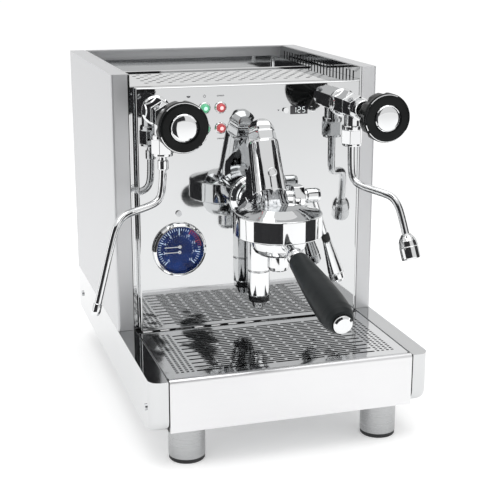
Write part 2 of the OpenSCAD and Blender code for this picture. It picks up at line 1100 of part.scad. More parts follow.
module power_inlet() {
    color([0.1, 0.1, 0.1])
        difference() {
            union() {
                block([-106, case_d, 110], [-56, case_d + 1.6, 142]);
                block([-103, case_d - 24, 113], [-59, case_d, 139]);
            }
            // socket and switch opening
            block([-102, case_d - 16, 115], [-82, case_d + 3, 137]);
            block([-76.5, case_d - 12, 114.5], [-61.5, case_d + 3, 137.5]);
        }
    // three contact blades
    color("silver")
        for (i = [-1 : 1])
            block([-93 + i * 6, case_d - 17, 125 - abs(i) * 3],
                  [-91 + i * 6, case_d - 4, 130 - abs(i) * 3]);
}

module power_rocker() {
    color([0.1, 0.1, 0.1])
        translate([-69, case_d - 3.5, 126])
            rotate([0, 90, 0])
                difference() {
                    translate([0, 0, -7])
                        intersection() {
                            cylinder(r = 10.8, h = 14);
                            translate([-12, -3, 0])
                                cube([24, 9, 14]);
                        }
                    // dished upper half
                    translate([-8, 16, -8])
                        cylinder(r = 12.5, h = 16);
                }
}

placed() chassis_pan();
placed() base_cheeks();
placed() left_side_panel();
placed() right_side_panel();
placed() back_panel();
placed() front_panel();
placed() cup_deck();
placed() tank_lid();
placed() feet();
placed() foot_pads();
placed() case_screws();
placed() drawer_pan();
placed() drawer_front();
placed() drip_grille();
placed() group_body();
placed() group_cap();
placed() group_side_plug();
placed() infusion_chamber();
placed() cam_nut();
placed() lever_shaft();
placed() lever_collar();
placed() lever_grip();
placed() group_gasket();
placed() shower_screen();
placed() portafilter_body();
placed() filter_basket();
placed() portafilter_spout();
placed() portafilter_grip();
placed() grip_end_cap();
placed() steam_valve();
placed() water_valve();
placed() steam_knob();
placed() water_knob();
placed() steam_knob_cap();
placed() water_knob_cap();
placed() steam_ball_seal();
placed() water_ball_seal();
placed() steam_wand();
placed() water_wand();
placed() water_tip();
placed() gauge_case();
placed() gauge_dial();
placed() gauge_glass();
placed() brew_needle();
placed() boiler_needle();
placed() lamp_bezels();
placed() green_lenses();
placed() red_lenses();
placed() clear_lenses();
placed() display_module();
placed() left_button();
placed() right_button();
placed() brew_boiler();
placed() steam_boiler();
placed() boiler_pipes();
placed() pump();
placed() water_tank();
placed() control_box();
placed() power_inlet();
placed() power_rocker();
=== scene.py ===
"""Looks of an espresso machine with two boilers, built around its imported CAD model.

Lengths are millimetres in the machine's own frame: x from the middle of the case, y from
the front flanges (the front is at minus y), z from the counter. MACHINE takes that frame to
the row frame in metres.
"""

from math import cos, pi, radians, sin

import bmesh
import bpy
from mathutils import Matrix, Vector
from mathutils.geometry import tessellate_polygon


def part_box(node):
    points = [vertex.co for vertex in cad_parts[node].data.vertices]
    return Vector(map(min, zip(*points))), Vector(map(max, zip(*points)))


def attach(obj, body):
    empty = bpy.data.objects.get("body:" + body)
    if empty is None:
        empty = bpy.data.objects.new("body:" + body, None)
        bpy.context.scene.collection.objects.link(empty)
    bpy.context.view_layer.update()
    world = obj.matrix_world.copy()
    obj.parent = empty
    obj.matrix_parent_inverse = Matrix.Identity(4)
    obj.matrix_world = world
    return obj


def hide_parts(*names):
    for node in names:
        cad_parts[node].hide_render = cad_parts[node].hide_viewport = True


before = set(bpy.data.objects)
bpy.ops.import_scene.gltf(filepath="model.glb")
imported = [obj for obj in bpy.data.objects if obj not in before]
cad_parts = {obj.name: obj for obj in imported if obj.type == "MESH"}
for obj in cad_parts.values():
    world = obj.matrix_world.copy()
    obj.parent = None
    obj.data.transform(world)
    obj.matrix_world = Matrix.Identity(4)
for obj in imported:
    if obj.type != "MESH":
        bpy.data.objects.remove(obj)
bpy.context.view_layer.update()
scene = bpy.context.scene
MM = 0.001

# Sizes -------------------------------------------------------------------------------


def mid(node, axis):
    low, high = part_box(node)
    return (low[axis] + high[axis]) / 2


MIDDLE = Vector((mid("front_panel", 0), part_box("left_side_panel")[0].y, 0))
MACHINE = Matrix.Translation(MIDDLE) @ Matrix.Scale(MM, 4)


def local(node):
    """Lowest and highest corner of a CAD node in the machine's frame, in millimetres."""
    back = MACHINE.inverted()
    low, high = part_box(node)
    return back @ low, back @ high


SIDE_LOW, SIDE_HIGH = local("left_side_panel")
PANEL_LOW, PANEL_HIGH = local("front_panel")
BASE_LOW, BASE_HIGH = local("base_cheeks")
GRILLE_LOW, GRILLE_HIGH = local("drip_grille")
GAUGE_LOW, GAUGE_HIGH = local("gauge_case")
KNOB_LOW, KNOB_HIGH = local("water_knob")
LID_LOW, LID_HIGH = local("tank_lid")
BELL_LOW, BELL_HIGH = local("group_body")

HALF_W = -SIDE_LOW.x
RAIL_X = -SIDE_HIGH.x
CASE_D = SIDE_HIGH.y
CASE_H = SIDE_HIGH.z
DECK_Z = SIDE_LOW.z
PANEL_TOP = PANEL_HIGH.z
FACE = PANEL_LOW.y
BASE_FRONT = BASE_LOW.y
BASE_Z = BASE_LOW.z
BAY_X = local("drawer_front")[1].x
FOOT_R = 19
VALVE_X = (KNOB_LOW.x + KNOB_HIGH.x) / 2
VALVE_Z = (KNOB_LOW.z + KNOB_HIGH.z) / 2
KNOB_R = (KNOB_HIGH.z - KNOB_LOW.z) / 2
KNOB_FRONT = KNOB_LOW.y
GAUGE_X = (GAUGE_LOW.x + GAUGE_HIGH.x) / 2
GAUGE_Z = (GAUGE_LOW.z + GAUGE_HIGH.z) / 2
GAUGE_R = (GAUGE_HIGH.z - GAUGE_LOW.z) / 2
BELL_R = BELL_HIGH.x
BELL_Y = BELL_LOW.y + BELL_R

# The lowest point of the group's casting is the rim of its flange on the panel
FLANGE_R = 25
NECK_Z = BELL_LOW.z + FLANGE_R
BELL_Z = NECK_Z - 19
BELL_H = 23.5
COLUMN_BACK = 24
COLUMN_UP = 26
COLUMN_LEAN = 26
CAP_AT = 68
LEVER_Y = -48
LEVER_Z = NECK_Z + 6
LEVER_LEAN = 17.5
HUB_X = 59
NUT_X = 30
CHAMBER_Y = -40
CHAMBER_R = 12
HANDLE_BACK = 33
HANDLE_DROP = 5.5
GRIP_SLOPE = 12.5
NECK_LEN = 28
GRIP_LEN = 118
BALL_Y = -41
BALL_Z = 309
BALL_R = 7.5
LAMP_COLUMNS = (-69.5, -52, -34.4)
LAMP_ROWS = (341, 319)
DISPLAY = Vector((54.4, 0, 335))
LEFT_BUTTON_X = 38.8

# Frames ------------------------------------------------------------------------------


def facing(origin, axis, twist=0):
    """Frame at a place whose Z runs along an axis."""
    turn = Vector(axis).to_track_quat("Z", "Y").to_matrix().to_4x4()
    return Matrix.Translation(Vector(origin)) @ turn @ Matrix.Rotation(radians(twist), 4, "Z")


def facing_front(x, y, z):
    """Frame on a surface that faces the user: X to the right, Y up, Z to the front."""
    return upright(x, y, z) @ Matrix.Rotation(pi / 2, 4, "X")


def upright(x, y, z):
    return Matrix.Translation((x, y, z))


def on_handle(distance):
    """Frame on the portafilter's handle, at a distance from its root."""
    lean = Matrix.Rotation(radians(90 + GRIP_SLOPE), 4, "X")
    root = upright(0, BELL_Y - HANDLE_BACK, BELL_Z - HANDLE_DROP)
    return root @ lean @ upright(0, 0, distance)


def on_lever(distance):
    """Frame on the brew lever, at a distance from its hub."""
    lean = Matrix.Rotation(radians(180 - LEVER_LEAN), 4, "Y")
    return upright(HUB_X, LEVER_Y, LEVER_Z) @ lean @ upright(0, 0, distance)


def on_column(distance):
    """Frame on the group's leaning column, at a distance from its foot."""
    lean = Matrix.Rotation(radians(-COLUMN_LEAN), 4, "X")
    foot = upright(0, BELL_Y + COLUMN_BACK, BELL_Z + COLUMN_UP)
    return foot @ lean @ upright(0, 0, distance)


# Takes an outline in Y and Z to a slab that runs along X
PROFILE = Matrix(((0, 0, 1, 0), (1, 0, 0, 0), (0, 1, 0, 0), (0, 0, 0, 1)))


# Mesh helpers ------------------------------------------------------------------------


class Shape:
    """A mesh under construction, in the machine's millimetres."""

    def __init__(self):
        self.mesh = bmesh.new()

    def add(self, points, faces, place=Matrix.Identity(4)):
        verts = [self.mesh.verts.new(place @ Vector(p)) for p in points]
        for face in faces:
            self.mesh.faces.new([verts[i] for i in face])

    def block(self, low, high, place=Matrix.Identity(4)):
        xs, ys, zs = zip(low, high)
        corners = [(x, y, z) for x in xs for y in ys for z in zs]
        faces = ((0, 1, 3, 2), (4, 6, 7, 5), (0, 4, 5, 1), (2, 3, 7, 6), (0, 2, 6, 4), (1, 5, 7, 3))
        self.add(corners, faces, place)

    def slab(self, outline, low, high, place=Matrix.Identity(4), holes=()):
        """Flat sheet with holes: an outline in X and Y, from low to high in Z."""
        loops = [[Vector((x, y, 0)) for x, y in loop] for loop in (outline, *holes)]
        flat = [p for loop in loops for p in loop]
        points = [(p.x, p.y, z) for z in (low, high) for p in flat]
        count = len(flat)
        faces = []
        for tri in tessellate_polygon(loops):
            faces.append(tri)
            faces.append(tuple(i + count for i in reversed(tri)))
        start = 0
        for loop in loops:
            for i in range(len(loop)):
                a = start + i
                b = start + (i + 1) % len(loop)
                faces.append((a, b, b + count, a + count))
            start += len(loop)
        self.add(points, faces, place)

    def lathe(self, outline, place, sides=96, wave=None):
        """Turned body about Z from (radius, height) points; wave scales the radius around it."""
        rings = []
        for r, h in outline:
            if r < 1e-6:
                rings.append([self.mesh.verts.new(place @ Vector((0, 0, h)))])
                continue
            ring = []
            for k in range(sides):
                a = 2 * pi * k / sides
                reach = r * (wave(a, h) if wave else 1)
                ring.append(self.mesh.verts.new(place @ Vector((reach * cos(a), reach * sin(a), h))))
            rings.append(ring)
        for low, high in zip(rings, rings[1:]):
            for k in range(sides):
                n = (k + 1) % sides
                corners = [low[k % len(low)], low[n % len(low)]]
                corners += [high[n % len(high)], high[k % len(high)]]
                face = [v for i, v in enumerate(corners) if v not in corners[:i]]
                if len(face) > 2:
                    self.mesh.faces.new(face)

    def tube(self, line, radii, sides=32):
        """Round bar along a line of points, with a radius at each."""
        across = Vector((0, 1, 0))
        rings = []
        for i, point in enumerate(line):
            along = (line[min(i + 1, len(line) - 1)] - line[max(i - 1, 0)]).normalized()
            u = across.cross(along).normalized()
            v = along.cross(u)
            ring = []
            for k in range(sides):
                a = 2 * pi * k / sides
                ring.append(self.mesh.verts.new(point + radii[i] * (cos(a) * u + sin(a) * v)))
            rings.append(ring)
        for low, high in zip(rings, rings[1:]):
            for k in range(sides):
                n = (k + 1) % sides
                self.mesh.faces.new((low[k], low[n], high[n], high[k]))
        self.mesh.faces.new(list(reversed(rings[0])))
        self.mesh.faces.new(rings[-1])

    def piece(self, name, body, look, replaces=True, bevel=0, bevel_steps=3, crease=40):
        """Turns the shape into an object that rides on a body.

        It replaces the CAD node of its own name, unless replaces is off, and takes its look's
        material. The bevel's width is in millimetres.
        """
        bmesh.ops.recalc_face_normals(self.mesh, faces=self.mesh.faces)
        self.mesh.transform(MACHINE)
        data = bpy.data.meshes.new(name)
        self.mesh.to_mesh(data)
        self.mesh.free()
        data.shade_smooth()
        data.set_sharp_from_angle(angle=radians(crease))
        obj = bpy.data.objects.new(name, data)
        scene.collection.objects.link(obj)
        data.materials.append(LOOKS[look])
        if bevel:
            soften = obj.modifiers.new("soft edges", "BEVEL")
            soften.width = bevel * MM
            soften.segments = bevel_steps
            soften.limit_method = "ANGLE"
            soften.angle_limit = radians(35)
            soften.harden_normals = True
        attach(obj, body)
        if replaces:
            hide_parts(name)


def arc(cx, cy, r, start, end, steps):
    """Points on a circle from one angle to another, in degrees."""
    angles = [radians(start + (end - start) * k / steps) for k in range(steps + 1)]
    return [(cx + r * cos(a), cy + r * sin(a)) for a in angles]


def rectangle(left, low, right, high):
    return [(left, low), (right, low), (right, high), (left, high)]


def round_rect(left, low, right, high, radii, steps=6):
    """Rectangle with a radius for each corner: lower left, lower right, upper right, upper left."""
    inward = ((1, 1), (-1, 1), (-1, -1), (1, -1))
    corners = zip(rectangle(left, low, right, high), inward, (180, 270, 0, 90), radii)
    points = []
    for (x, y), (sx, sy), start, r in corners:
        if r:
            points += arc(x + sx * r, y + sy * r, r, start, start + 90, steps)
        else:
            points.append((x, y))
    return points


def circle(cx, cy, r, sides=16):
    angles = [2 * pi * k / sides for k in range(sides)]
    return [(cx + r * cos(a), cy + r * sin(a)) for a in angles]


def hexagon(flats, twist=0):
    """Hexagon by its width across flats, twisted by some degrees."""
    r = flats / 2 / cos(pi / 6)
    angles = [radians(60 * k + twist) for k in range(6)]
    return [(r * cos(a), r * sin(a)) for a in angles]


def soft(outline, r=0.6, steps=3, guard=0.15):
    """Outline with each clear corner rounded, and a guard point on both sides of the rounding."""
    nearly_straight = radians(172)
    least_slope = 0.2
    share, guard_share = 0.4, 0.45
    points = [Vector(p) for p in outline]
    out = [points[0]]
    for before, corner, after in zip(points, points[1:], points[2:]):
        u = before - corner
        v = after - corner
        turn = u.angle(v)
        if turn > nearly_straight:
            out.append(corner)
            continue
        half = turn / 2
        slope = max(least_slope, abs(sin(half) / cos(half)))
        reach = min(r / slope, u.length * share, v.length * share)
        a = corner + u.normalized() * reach
        b = corner + v.normalized() * reach
        out.append(corner + u.normalized() * min(reach + guard, u.length * guard_share))
        for k in range(steps + 1):
            t = k / steps
            out.append((1 - t) ** 2 * a + 2 * t * (1 - t) * corner + t * t * b)
        out.append(corner + v.normalized() * min(reach + guard, v.length * guard_share))
    out.append(points[-1])
    return [tuple(p) for p in out]


def smooth_line(route, rounds=4):
    """Route with its corners cut again and again, which leaves a smooth bend."""
    line = [Vector(p) for p in route]
    for _ in range(rounds):
        cut = [line[0]]
        for a, b in zip(line, line[1:]):
            cut += [a.lerp(b, 0.25), a.lerp(b, 0.75)]
        line = cut + [line[-1]]
    return line


# Materials ---------------------------------------------------------------------------


class Look:
    """A material under construction."""

    def __init__(self, name, colour, metallic=0.0, roughness=0.5, **sockets):
        self.material = bpy.data.materials.new(name)
        self.material.use_nodes = True
        self.nodes = self.material.node_tree.nodes
        self.links = self.material.node_tree.links
        self.shader = self.nodes["Principled BSDF"]
        self.colour = (*colour, 1)
        self.set("Base Color", self.colour)
        self.set("Metallic", metallic)
        self.set("Roughness", roughness)
        for socket, value in sockets.items():
            self.set(socket.replace("_", " ").title().replace("Ior", "IOR"), value)
        self.coords = self.nodes.new("ShaderNodeTexCoord").outputs["Object"]
        self.height = None

    def set(self, socket, value):
        self.shader.inputs[socket].default_value = value

    def stretched(self, scale):
        mapping = self.nodes.new("ShaderNodeMapping")
        mapping.inputs["Scale"].default_value = scale
        self.links.new(self.coords, mapping.inputs["Vector"])
        return mapping.outputs["Vector"]

    def noise(self, scale, detail=3, roughness=0.55):
        """Noise over the object; a scale of three numbers stretches it."""
        node = self.nodes.new("ShaderNodeTexNoise")
        node.inputs["Detail"].default_value = detail
        node.inputs["Roughness"].default_value = roughness
        if isinstance(scale, tuple):
            self.links.new(self.stretched(scale), node.inputs["Vector"])
            node.inputs["Scale"].default_value = 1
        else:
            self.links.new(self.coords, node.inputs["Vector"])
            node.inputs["Scale"].default_value = scale
        return node.outputs["Fac"]

    def cells(self, scale):
        node = self.nodes.new("ShaderNodeTexVoronoi")
        node.inputs["Scale"].default_value = scale
        self.links.new(self.coords, node.inputs["Vector"])
        return node.outputs["Distance"]

    def between(self, value, low, high, start=0.3, end=0.7):
        node = self.nodes.new("ShaderNodeMapRange")
        node.inputs["From Min"].default_value = start
        node.inputs["From Max"].default_value = end
        node.inputs["To Min"].default_value = low
        node.inputs["To Max"].default_value = high
        self.links.new(value, node.inputs["Value"])
        return node.outputs["Result"]

    def vary_roughness(self, value, low, high):
        self.links.new(self.between(value, low, high), self.shader.inputs["Roughness"])

    def vary_colour(self, value, other, start=0.3, end=0.7):
        """Blends from the base colour to another colour where the value is high."""
        ramp = self.nodes.new("ShaderNodeValToRGB")
        ramp.color_ramp.elements[0].position = start
        ramp.color_ramp.elements[0].color = self.colour
        ramp.color_ramp.elements[1].position = end
        ramp.color_ramp.elements[1].color = (*other, 1)
        self.links.new(value, ramp.inputs["Fac"])
        self.links.new(ramp.outputs["Color"], self.shader.inputs["Base Color"])

    def bump(self, value, depth, strength=1.0):
        """Raises the surface by depth millimetres, on top of any earlier bump."""
        node = self.nodes.new("ShaderNodeBump")
        node.inputs["Distance"].default_value = depth * MM
        node.inputs["Strength"].default_value = strength
        self.links.new(value, node.inputs["Height"])
        if self.height:
            self.links.new(self.height, node.inputs["Normal"])
        self.height = node.outputs["Normal"]
        self.links.new(self.height, self.shader.inputs["Normal"])


def surface(name, colour, metallic, roughness, rough=None, tint=None, relief=None, **sockets):
    """Material with noise in its roughness, its colour and its height.

    rough is (scale, detail, lowest, highest), tint is (scale, detail, other colour) and relief is
    (scale, detail, depth in millimetres).
    """
    look = Look(name, colour, metallic, roughness, **sockets)
    if rough:
        look.vary_roughness(look.noise(*rough[:2]), *rough[2:])
    if tint:
        look.vary_colour(look.noise(*tint[:2]), *tint[2:])
    if relief:
        look.bump(look.noise(*relief[:2]), relief[2])
    return look.material


def scaled(colour, factor, lift=0.0):
    return tuple(min(1, factor * c + lift) for c in colour)


def rubber(name, colour):
    return surface(name, colour, 0, 0.6, (1400, 2, 0.5, 0.75), (90, 3, scaled(colour, 1.8)), (1400, 2, 0.03))


def paint(name, colour, roughness=0.45):
    rough = (150, 3, roughness - 0.08, roughness + 0.1)
    return surface(name, colour, 0, roughness, rough, (25, 4, scaled(colour, 0.8)), (1100, 3, 0.02))


def printed(name, colour, glow=0.0):
    look = Look(name, colour, 0, 0.45, emission_strength=glow)
    look.set("Emission Color", (*colour, 1))
    look.vary_colour(look.noise(600), scaled(colour, 1.06, 0.01))
    look.bump(look.noise(2000), 0.003)
    return look.material


def hidden_steel():
    look = Look("hidden steel", (0.42, 0.43, 0.44), 1, 0.4)
    spangle = look.cells(160)
    look.vary_roughness(spangle, 0.3, 0.55)
    look.vary_colour(look.noise(40), (0.5, 0.51, 0.52))
    look.bump(spangle, 0.02)
    return look.material


def rough_chrome():
    look = Look("cast chrome", (0.42, 0.43, 0.44), 1, 0.1)
    lumps = look.cells(210)
    look.vary_roughness(look.noise(200), 0.05, 0.16)
    look.vary_colour(lumps, (0.3, 0.31, 0.32))
    look.bump(lumps, 0.45)
    return look.material


def clear_glass():
    """Thin glass: clear from the front, with gloss that grows at low angles."""
    look = Look("gauge glass", (0.96, 0.98, 1.0), 1, 0.02)
    gloss = look.nodes.new("ShaderNodeFresnel")
    gloss.inputs["IOR"].default_value = 1.12
    look.links.new(gloss.outputs["Fac"], look.shader.inputs["Alpha"])
    look.vary_roughness(look.noise(80), 0.01, 0.04)
    return look.material


def lamp(name, colour, glow_colour, glow):
    look = Look(name, colour, 0, 0.12, transmission_weight=0.35, emission_strength=glow)
    look.set("Emission Color", (*glow_colour, 1))
    facets = look.cells(520)
    look.vary_colour(facets, scaled(colour, 0.5), 0.1, 0.9)
    look.vary_roughness(facets, 0.06, 0.2)
    look.bump(facets, 0.25)
    return look.material


LOOKS = {
    "mirror_steel": surface(
        "mirror steel", (0.60, 0.61, 0.615), 1, 0.05,
        (35, 4, 0.025, 0.06), (6, 3, (0.63, 0.635, 0.64)), (9, 1, 0.12),
    ),
    "grille_steel": surface(
        "grille steel", (0.78, 0.79, 0.80), 1, 0.08,
        (35, 4, 0.06, 0.12), (9, 3, (0.84, 0.845, 0.85)), (22, 2, 1.6),
    ),
    "satin_steel": surface(
        "satin steel", (0.56, 0.565, 0.575), 0.72, 0.36,
        (7, 3, 0.33, 0.39), (7, 3, (0.60, 0.605, 0.615)), ((4, 4, 700), 2, 0.0006),
    ),
    "pale_steel": surface(
        "bright satin steel", (0.74, 0.74, 0.75), 1, 0.34,
        ((8, 400, 500), 3, 0.31, 0.38), (7, 3, (0.77, 0.77, 0.775)), ((8, 400, 500), 3, 0.002),
    ),
    "hidden_steel": hidden_steel(),
    "chrome": surface(
        "chrome", (0.74, 0.75, 0.755), 1, 0.03,
        (60, 4, 0.015, 0.05), (14, 3, (0.78, 0.785, 0.79)), (26, 1, 0.06),
    ),
    "rough_chrome": rough_chrome(),
    "screw_steel": surface(
        "screw steel", (0.50, 0.51, 0.52), 1, 0.2,
        (300, 3, 0.14, 0.3), (120, 3, (0.6, 0.61, 0.62)), (500, 3, 0.01),
    ),
    "foot_steel": surface(
        "brushed foot steel", (0.38, 0.385, 0.39), 1, 0.3,
        ((20, 20, 2400), 3, 0.2, 0.36), ((20, 20, 2400), 3, (0.48, 0.485, 0.49)), ((20, 20, 2400), 3, 0.015),
    ),
    # Black rubber for the gasket and the foot pads; the same black also paints shade on the sheets set in
    # gaps and under holes.
    "rubber_black": rubber("black rubber and shade", (0.012, 0.012, 0.013)),
    "knob_black": surface(
        "gloss black plastic", (0.004, 0.0045, 0.0045), 0, 0.26,
        (110, 4, 0.16, 0.32), (40, 3, (0.010, 0.011, 0.011)), (900, 2, 0.008), specular_ior_level=0.12,
    ),
    "grip_black": surface(
        "matt black grip", (0.008, 0.010, 0.011), 0, 0.4,
        (70, 4, 0.36, 0.52), (30, 3, (0.014, 0.017, 0.018)), (1700, 2, 0.03), specular_ior_level=0.2,
    ),
    "collar_black": rubber("collar black", (0.008, 0.008, 0.008)),
    "seal_white": surface(
        "white seal", (0.8, 0.8, 0.78), 0, 0.4, None, (300, 3, (0.72, 0.72, 0.7)), (900, 3, 0.01),
    ),
    "dial_blue": surface(
        "dial blue", (0.002, 0.012, 0.08), 0, 0.4, (400, 3, 0.3, 0.42),
        (60, 2, (0.005, 0.045, 0.26), 0.4, 0.75), (1500, 3, 0.004), specular_ior_level=0.2,
    ),
    "gauge_glass": clear_glass(),
    "needle_white": printed("needle white", (0.85, 0.87, 0.9)),
    # The dial marks and numbers glow a little: painted light that keeps the print bright under the glass.
    "dial_print_and_glow": printed("dial marks", (0.62, 0.78, 1.0), 0.25),
    "print_red": printed("dial red", (0.5, 0.03, 0.05)),
    "print_grey": printed("panel symbols", (0.10, 0.10, 0.11)),
    "digit_white": printed("display digits", (0.8, 0.85, 0.85), 0.6),
    "lamp_clear": lamp("clear lens", (0.6, 0.62, 0.62), (0.7, 0.7, 0.7), 0.0),
    "lamp_green": lamp("green lens", (0.03, 0.42, 0.2), (0.35, 1.0, 0.6), 0.3),
    "lamp_red": lamp("red lens", (0.6, 0.03, 0.05), (1.0, 0.25, 0.25), 0.22),
    "lamp_green_core": printed("green core", (0.55, 1.0, 0.75), 0.5),
    "lamp_red_core": printed("red core", (1.0, 0.6, 0.6), 0.45),
    "display_black": surface(
        "display window", (0.008, 0.008, 0.010), 0, 0.08,
        (200, 3, 0.05, 0.12), (90, 3, (0.014, 0.014, 0.018)), coat_weight=0.5,
    ),
    "copper": surface(
        "copper", (0.72, 0.36, 0.22), 1, 0.28, (60, 3, 0.2, 0.45), (18, 5, (0.42, 0.2, 0.13)), (240, 3, 0.05),
    ),
    "pump_paint": paint("pump paint", (0.07, 0.07, 0.08)),
    "tank_plastic": surface(
        "clear tank plastic", (0.86, 0.92, 0.95), 0, 0.15,
        (60, 3, 0.1, 0.25), None, (120, 3, 0.02), transmission_weight=0.85,
    ),
    "box_grey": paint("control box grey", (0.25, 0.26, 0.27)),
    "inlet_black": paint("inlet black", (0.014, 0.014, 0.015), 0.4),
}

# The CAD nodes that stay as they are, by the look that they get
CAD_NODES = {
    "hidden_steel": ("chassis_pan",),
    "satin_steel": ("back_panel",),
    "mirror_steel": ("drawer_pan", "shower_screen", "filter_basket"),
    "screw_steel": ("case_screws",),
    "rubber_black": ("group_gasket",),
    "seal_white": ("steam_ball_seal", "water_ball_seal"),
    "gauge_glass": ("gauge_glass",),
    "dial_blue": ("gauge_dial",),
    "needle_white": ("brew_needle", "boiler_needle"),
    "display_black": ("display_module",),
    "chrome": ("left_button", "right_button"),
    "copper": ("brew_boiler", "steam_boiler", "boiler_pipes"),
    "pump_paint": ("pump",),
    "tank_plastic": ("water_tank",),
    "box_grey": ("control_box",),
    "inlet_black": ("power_inlet", "power_rocker"),
}


def dress_cad_nodes():
    for look, nodes in CAD_NODES.items():
        for node in nodes:
            for material_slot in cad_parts[node].material_slots:
                material_slot.link = "OBJECT"
                material_slot.material = LOOKS[look]


# Case --------------------------------------------------------------------------------


def side_panel(name, side):
    """Satin side panel, the slotted rail on its inner side, and a black sheet behind the slots that paints
    the shade in the gap.
    """
    corner = 3
    wall = 1.5
    slot_count, slot_start, slot_width = 24, 18, 4
    pitch = (CASE_D - 30) / slot_count
    outer = side * HALF_W
    inner = side * RAIL_X
    skin = inner + side * 2.2
    radii = (corner, 0, 0, 0) if side < 0 else (0, corner, 0, 0)
    near, far = sorted((outer, skin))
    shape = Shape()
    shape.slab(round_rect(near, 0, far, CASE_D, radii, 10), DECK_Z, CASE_H)
    shape.piece(name, "case", "satin_steel", bevel=1.2)

    starts = [slot_start + i * pitch for i in range(slot_count)]
    slots = [rectangle(y, CASE_H - 27, y + slot_width, CASE_H - 6) for y in starts]
    near, far = sorted((inner, inner + side * wall))
    rail = Shape()
    rail.slab(rectangle(0, DECK_Z, CASE_D, CASE_H - 0.3), near, far, PROFILE, slots)
    rail.piece(name + "_rail", "case", "mirror_steel", replaces=False)
    # Painted shade: a black sheet between the rail and the skin stands for the shade seen through the slots.
    shade = Shape()
    near, far = sorted((inner + side * 1.6, skin))
    shade.block((near, 4, DECK_Z + 4), (far, CASE_D - 4, CASE_H - 3))
    shade.piece(name + "_rail_shade", "case", "rubber_black", replaces=False)


def front_panel():
    """Polished splash panel with rounded edges, and the narrow wings behind its two seams."""
    wing = 4
    shape = Shape()
    shape.block((PANEL_LOW.x + wing, FACE, DECK_Z + 0.3), (PANEL_HIGH.x - wing, -0.2, PANEL_TOP))
    shape.piece("front_panel", "case", "mirror_steel", bevel=1.6, bevel_steps=4)
    wings = Shape()
    for side in (-1, 1):
        near, far = sorted((side * (RAIL_X - 0.3), side * (RAIL_X - 4.4)))
        wings.block((near, 0.8, DECK_Z + 0.3), (far, 3, PANEL_TOP - 1.6))
    wings.piece("front_panel_wings", "case", "mirror_steel", replaces=False)


def cup_deck():
    """Polished deck with staggered holes, which a fold ends at the front."""
    hole_r = 2.6
    step, row_step = 6.6, 22
    first_row, rows, half_columns = 30, 4, 16
    lap = 4
    top = PANEL_TOP - 0.05
    half = RAIL_X - 0.3
    holes = []
    for column in range(-half_columns, half_columns + 1):
        stagger = (abs(column) % 2) * row_step / 2
        for row in range(rows):
            holes.append(circle(column * step, first_row + row * row_step + stagger, hole_r, 12))
    lid_x = LID_HIGH.x - lap
    opening = rectangle(-lid_x, LID_LOW.y + lap, lid_x, LID_HIGH.y - lap)
    outline = rectangle(-half, 3.5, half, CASE_D - 1.7)
    shape = Shape()
    shape.slab(outline, top - 1.4, top, holes=[*holes, opening])
    shape.block((-half, -0.1, top - 2), (half, 3.0, top - 0.25))
    shape.piece("cup_deck", "case", "mirror_steel")
    # Painted shade: a black sheet under the deck darkens the holes, where the space below is in shade.
    shade = Shape()
    shade.block((-RAIL_X + 6, 20, top - 3), (RAIL_X - 6, LID_LOW.y - 6, top - 2.4))
    shade.piece("cup_deck_shade", "case", "rubber_black", replaces=False)


def tank_lid():
    """Polished lid sunk into the deck: a flat rim with round corners, a wall and a bottom."""

    def inset(by, r):
        return round_rect(LID_LOW.x + by, LID_LOW.y + by, LID_HIGH.x - by, LID_HIGH.y - by, [r] * 4)

    under_rim = LID_HIGH.z - 1.1
    bottom = LID_LOW.z
    inside = inset(5.8, 4)
    shape = Shape()
    shape.slab(inset(0, 6), under_rim, LID_HIGH.z, holes=[inside])
    shape.slab(inside, bottom, bottom + 1.2)
    shape.slab(inset(4.6, 5), bottom, under_rim, holes=[inside])
    shape.piece("tank_lid", "lid", "mirror_steel")


def base_cheeks():
    """Two covers beside the drip drawer, rounded at the front corner and under the chin."""
    chin = 15
    corner = 12
    fade = 60
    bottom = BASE_Z + 0.2
    levels = [bottom + chin * (1 - cos(radians(a))) for a in range(0, 91, 9)] + [BASE_HIGH.z]
    shape = Shape()
    for side in (-1, 1):
        near, far = sorted((side * HALF_W, side * (BAY_X + 0.3)))
        radii = (corner, 0, 0, 0) if side < 0 else (0, corner, 0, 0)
        plan = round_rect(near, BASE_FRONT, far, CASE_D, radii, 10)
        count = len(plan)
        points = []
        for z in levels:
            drop = max(0, chin - (z - bottom))
            front = BASE_FRONT + chin - (chin ** 2 - drop ** 2) ** 0.5
            for x, y in plan:
                keep = 1 - min(1, (y - BASE_FRONT) / fade)
                points.append((x, y + (front - BASE_FRONT) * keep, z))
        top = count * (len(levels) - 1)
        faces = [range(count), range(top, top + count)]
        for a in range(0, top, count):
            for i in range(count):
                n = (i + 1) % count
                faces.append((a + i, a + n, a + count + n, a + count + i))
        shape.add(points, faces)
    shape.piece("base_cheeks", "case", "mirror_steel", bevel=1.2, crease=30)


def drawer_front():
    """Satin front of the drip drawer, with its rolled top edge."""
    roll = 4
    sheet = 1.4
    lip = 2.5
    bottom = BASE_Z + 0.4
    middle = BASE_FRONT + roll
    level = DECK_Z + 0.8 - roll
    outline = [(BASE_FRONT, bottom), (BASE_FRONT, level), *arc(middle, level, roll, 170, 0, 17)]
    outline += [(middle + roll, level - lip), (middle + roll - sheet, level - lip)]
    outline += [*arc(middle, level, roll - sheet, 0, 180, 12), (BASE_FRONT + 1.5, bottom)]
    shape = Shape()
    shape.slab(outline, -BAY_X + 0.9, BAY_X - 0.9, PROFILE)
    shape.piece("drawer_front", "drawer", "pale_steel")
    # Painted shade: black strips in the gaps beside the drawer front stand for the shade between the parts.
    gap_shade = Shape()
    for side in (-1, 1):
        near, far = sorted((side * (BAY_X - 0.7), side * (BAY_X + 0.2)))
        gap_shade.block((near, BASE_FRONT + 3, BASE_Z + 1), (far, BASE_FRONT + 12, DECK_Z - 1))
    gap_shade.piece("drawer_gap_shade", "case", "rubber_black", replaces=False)


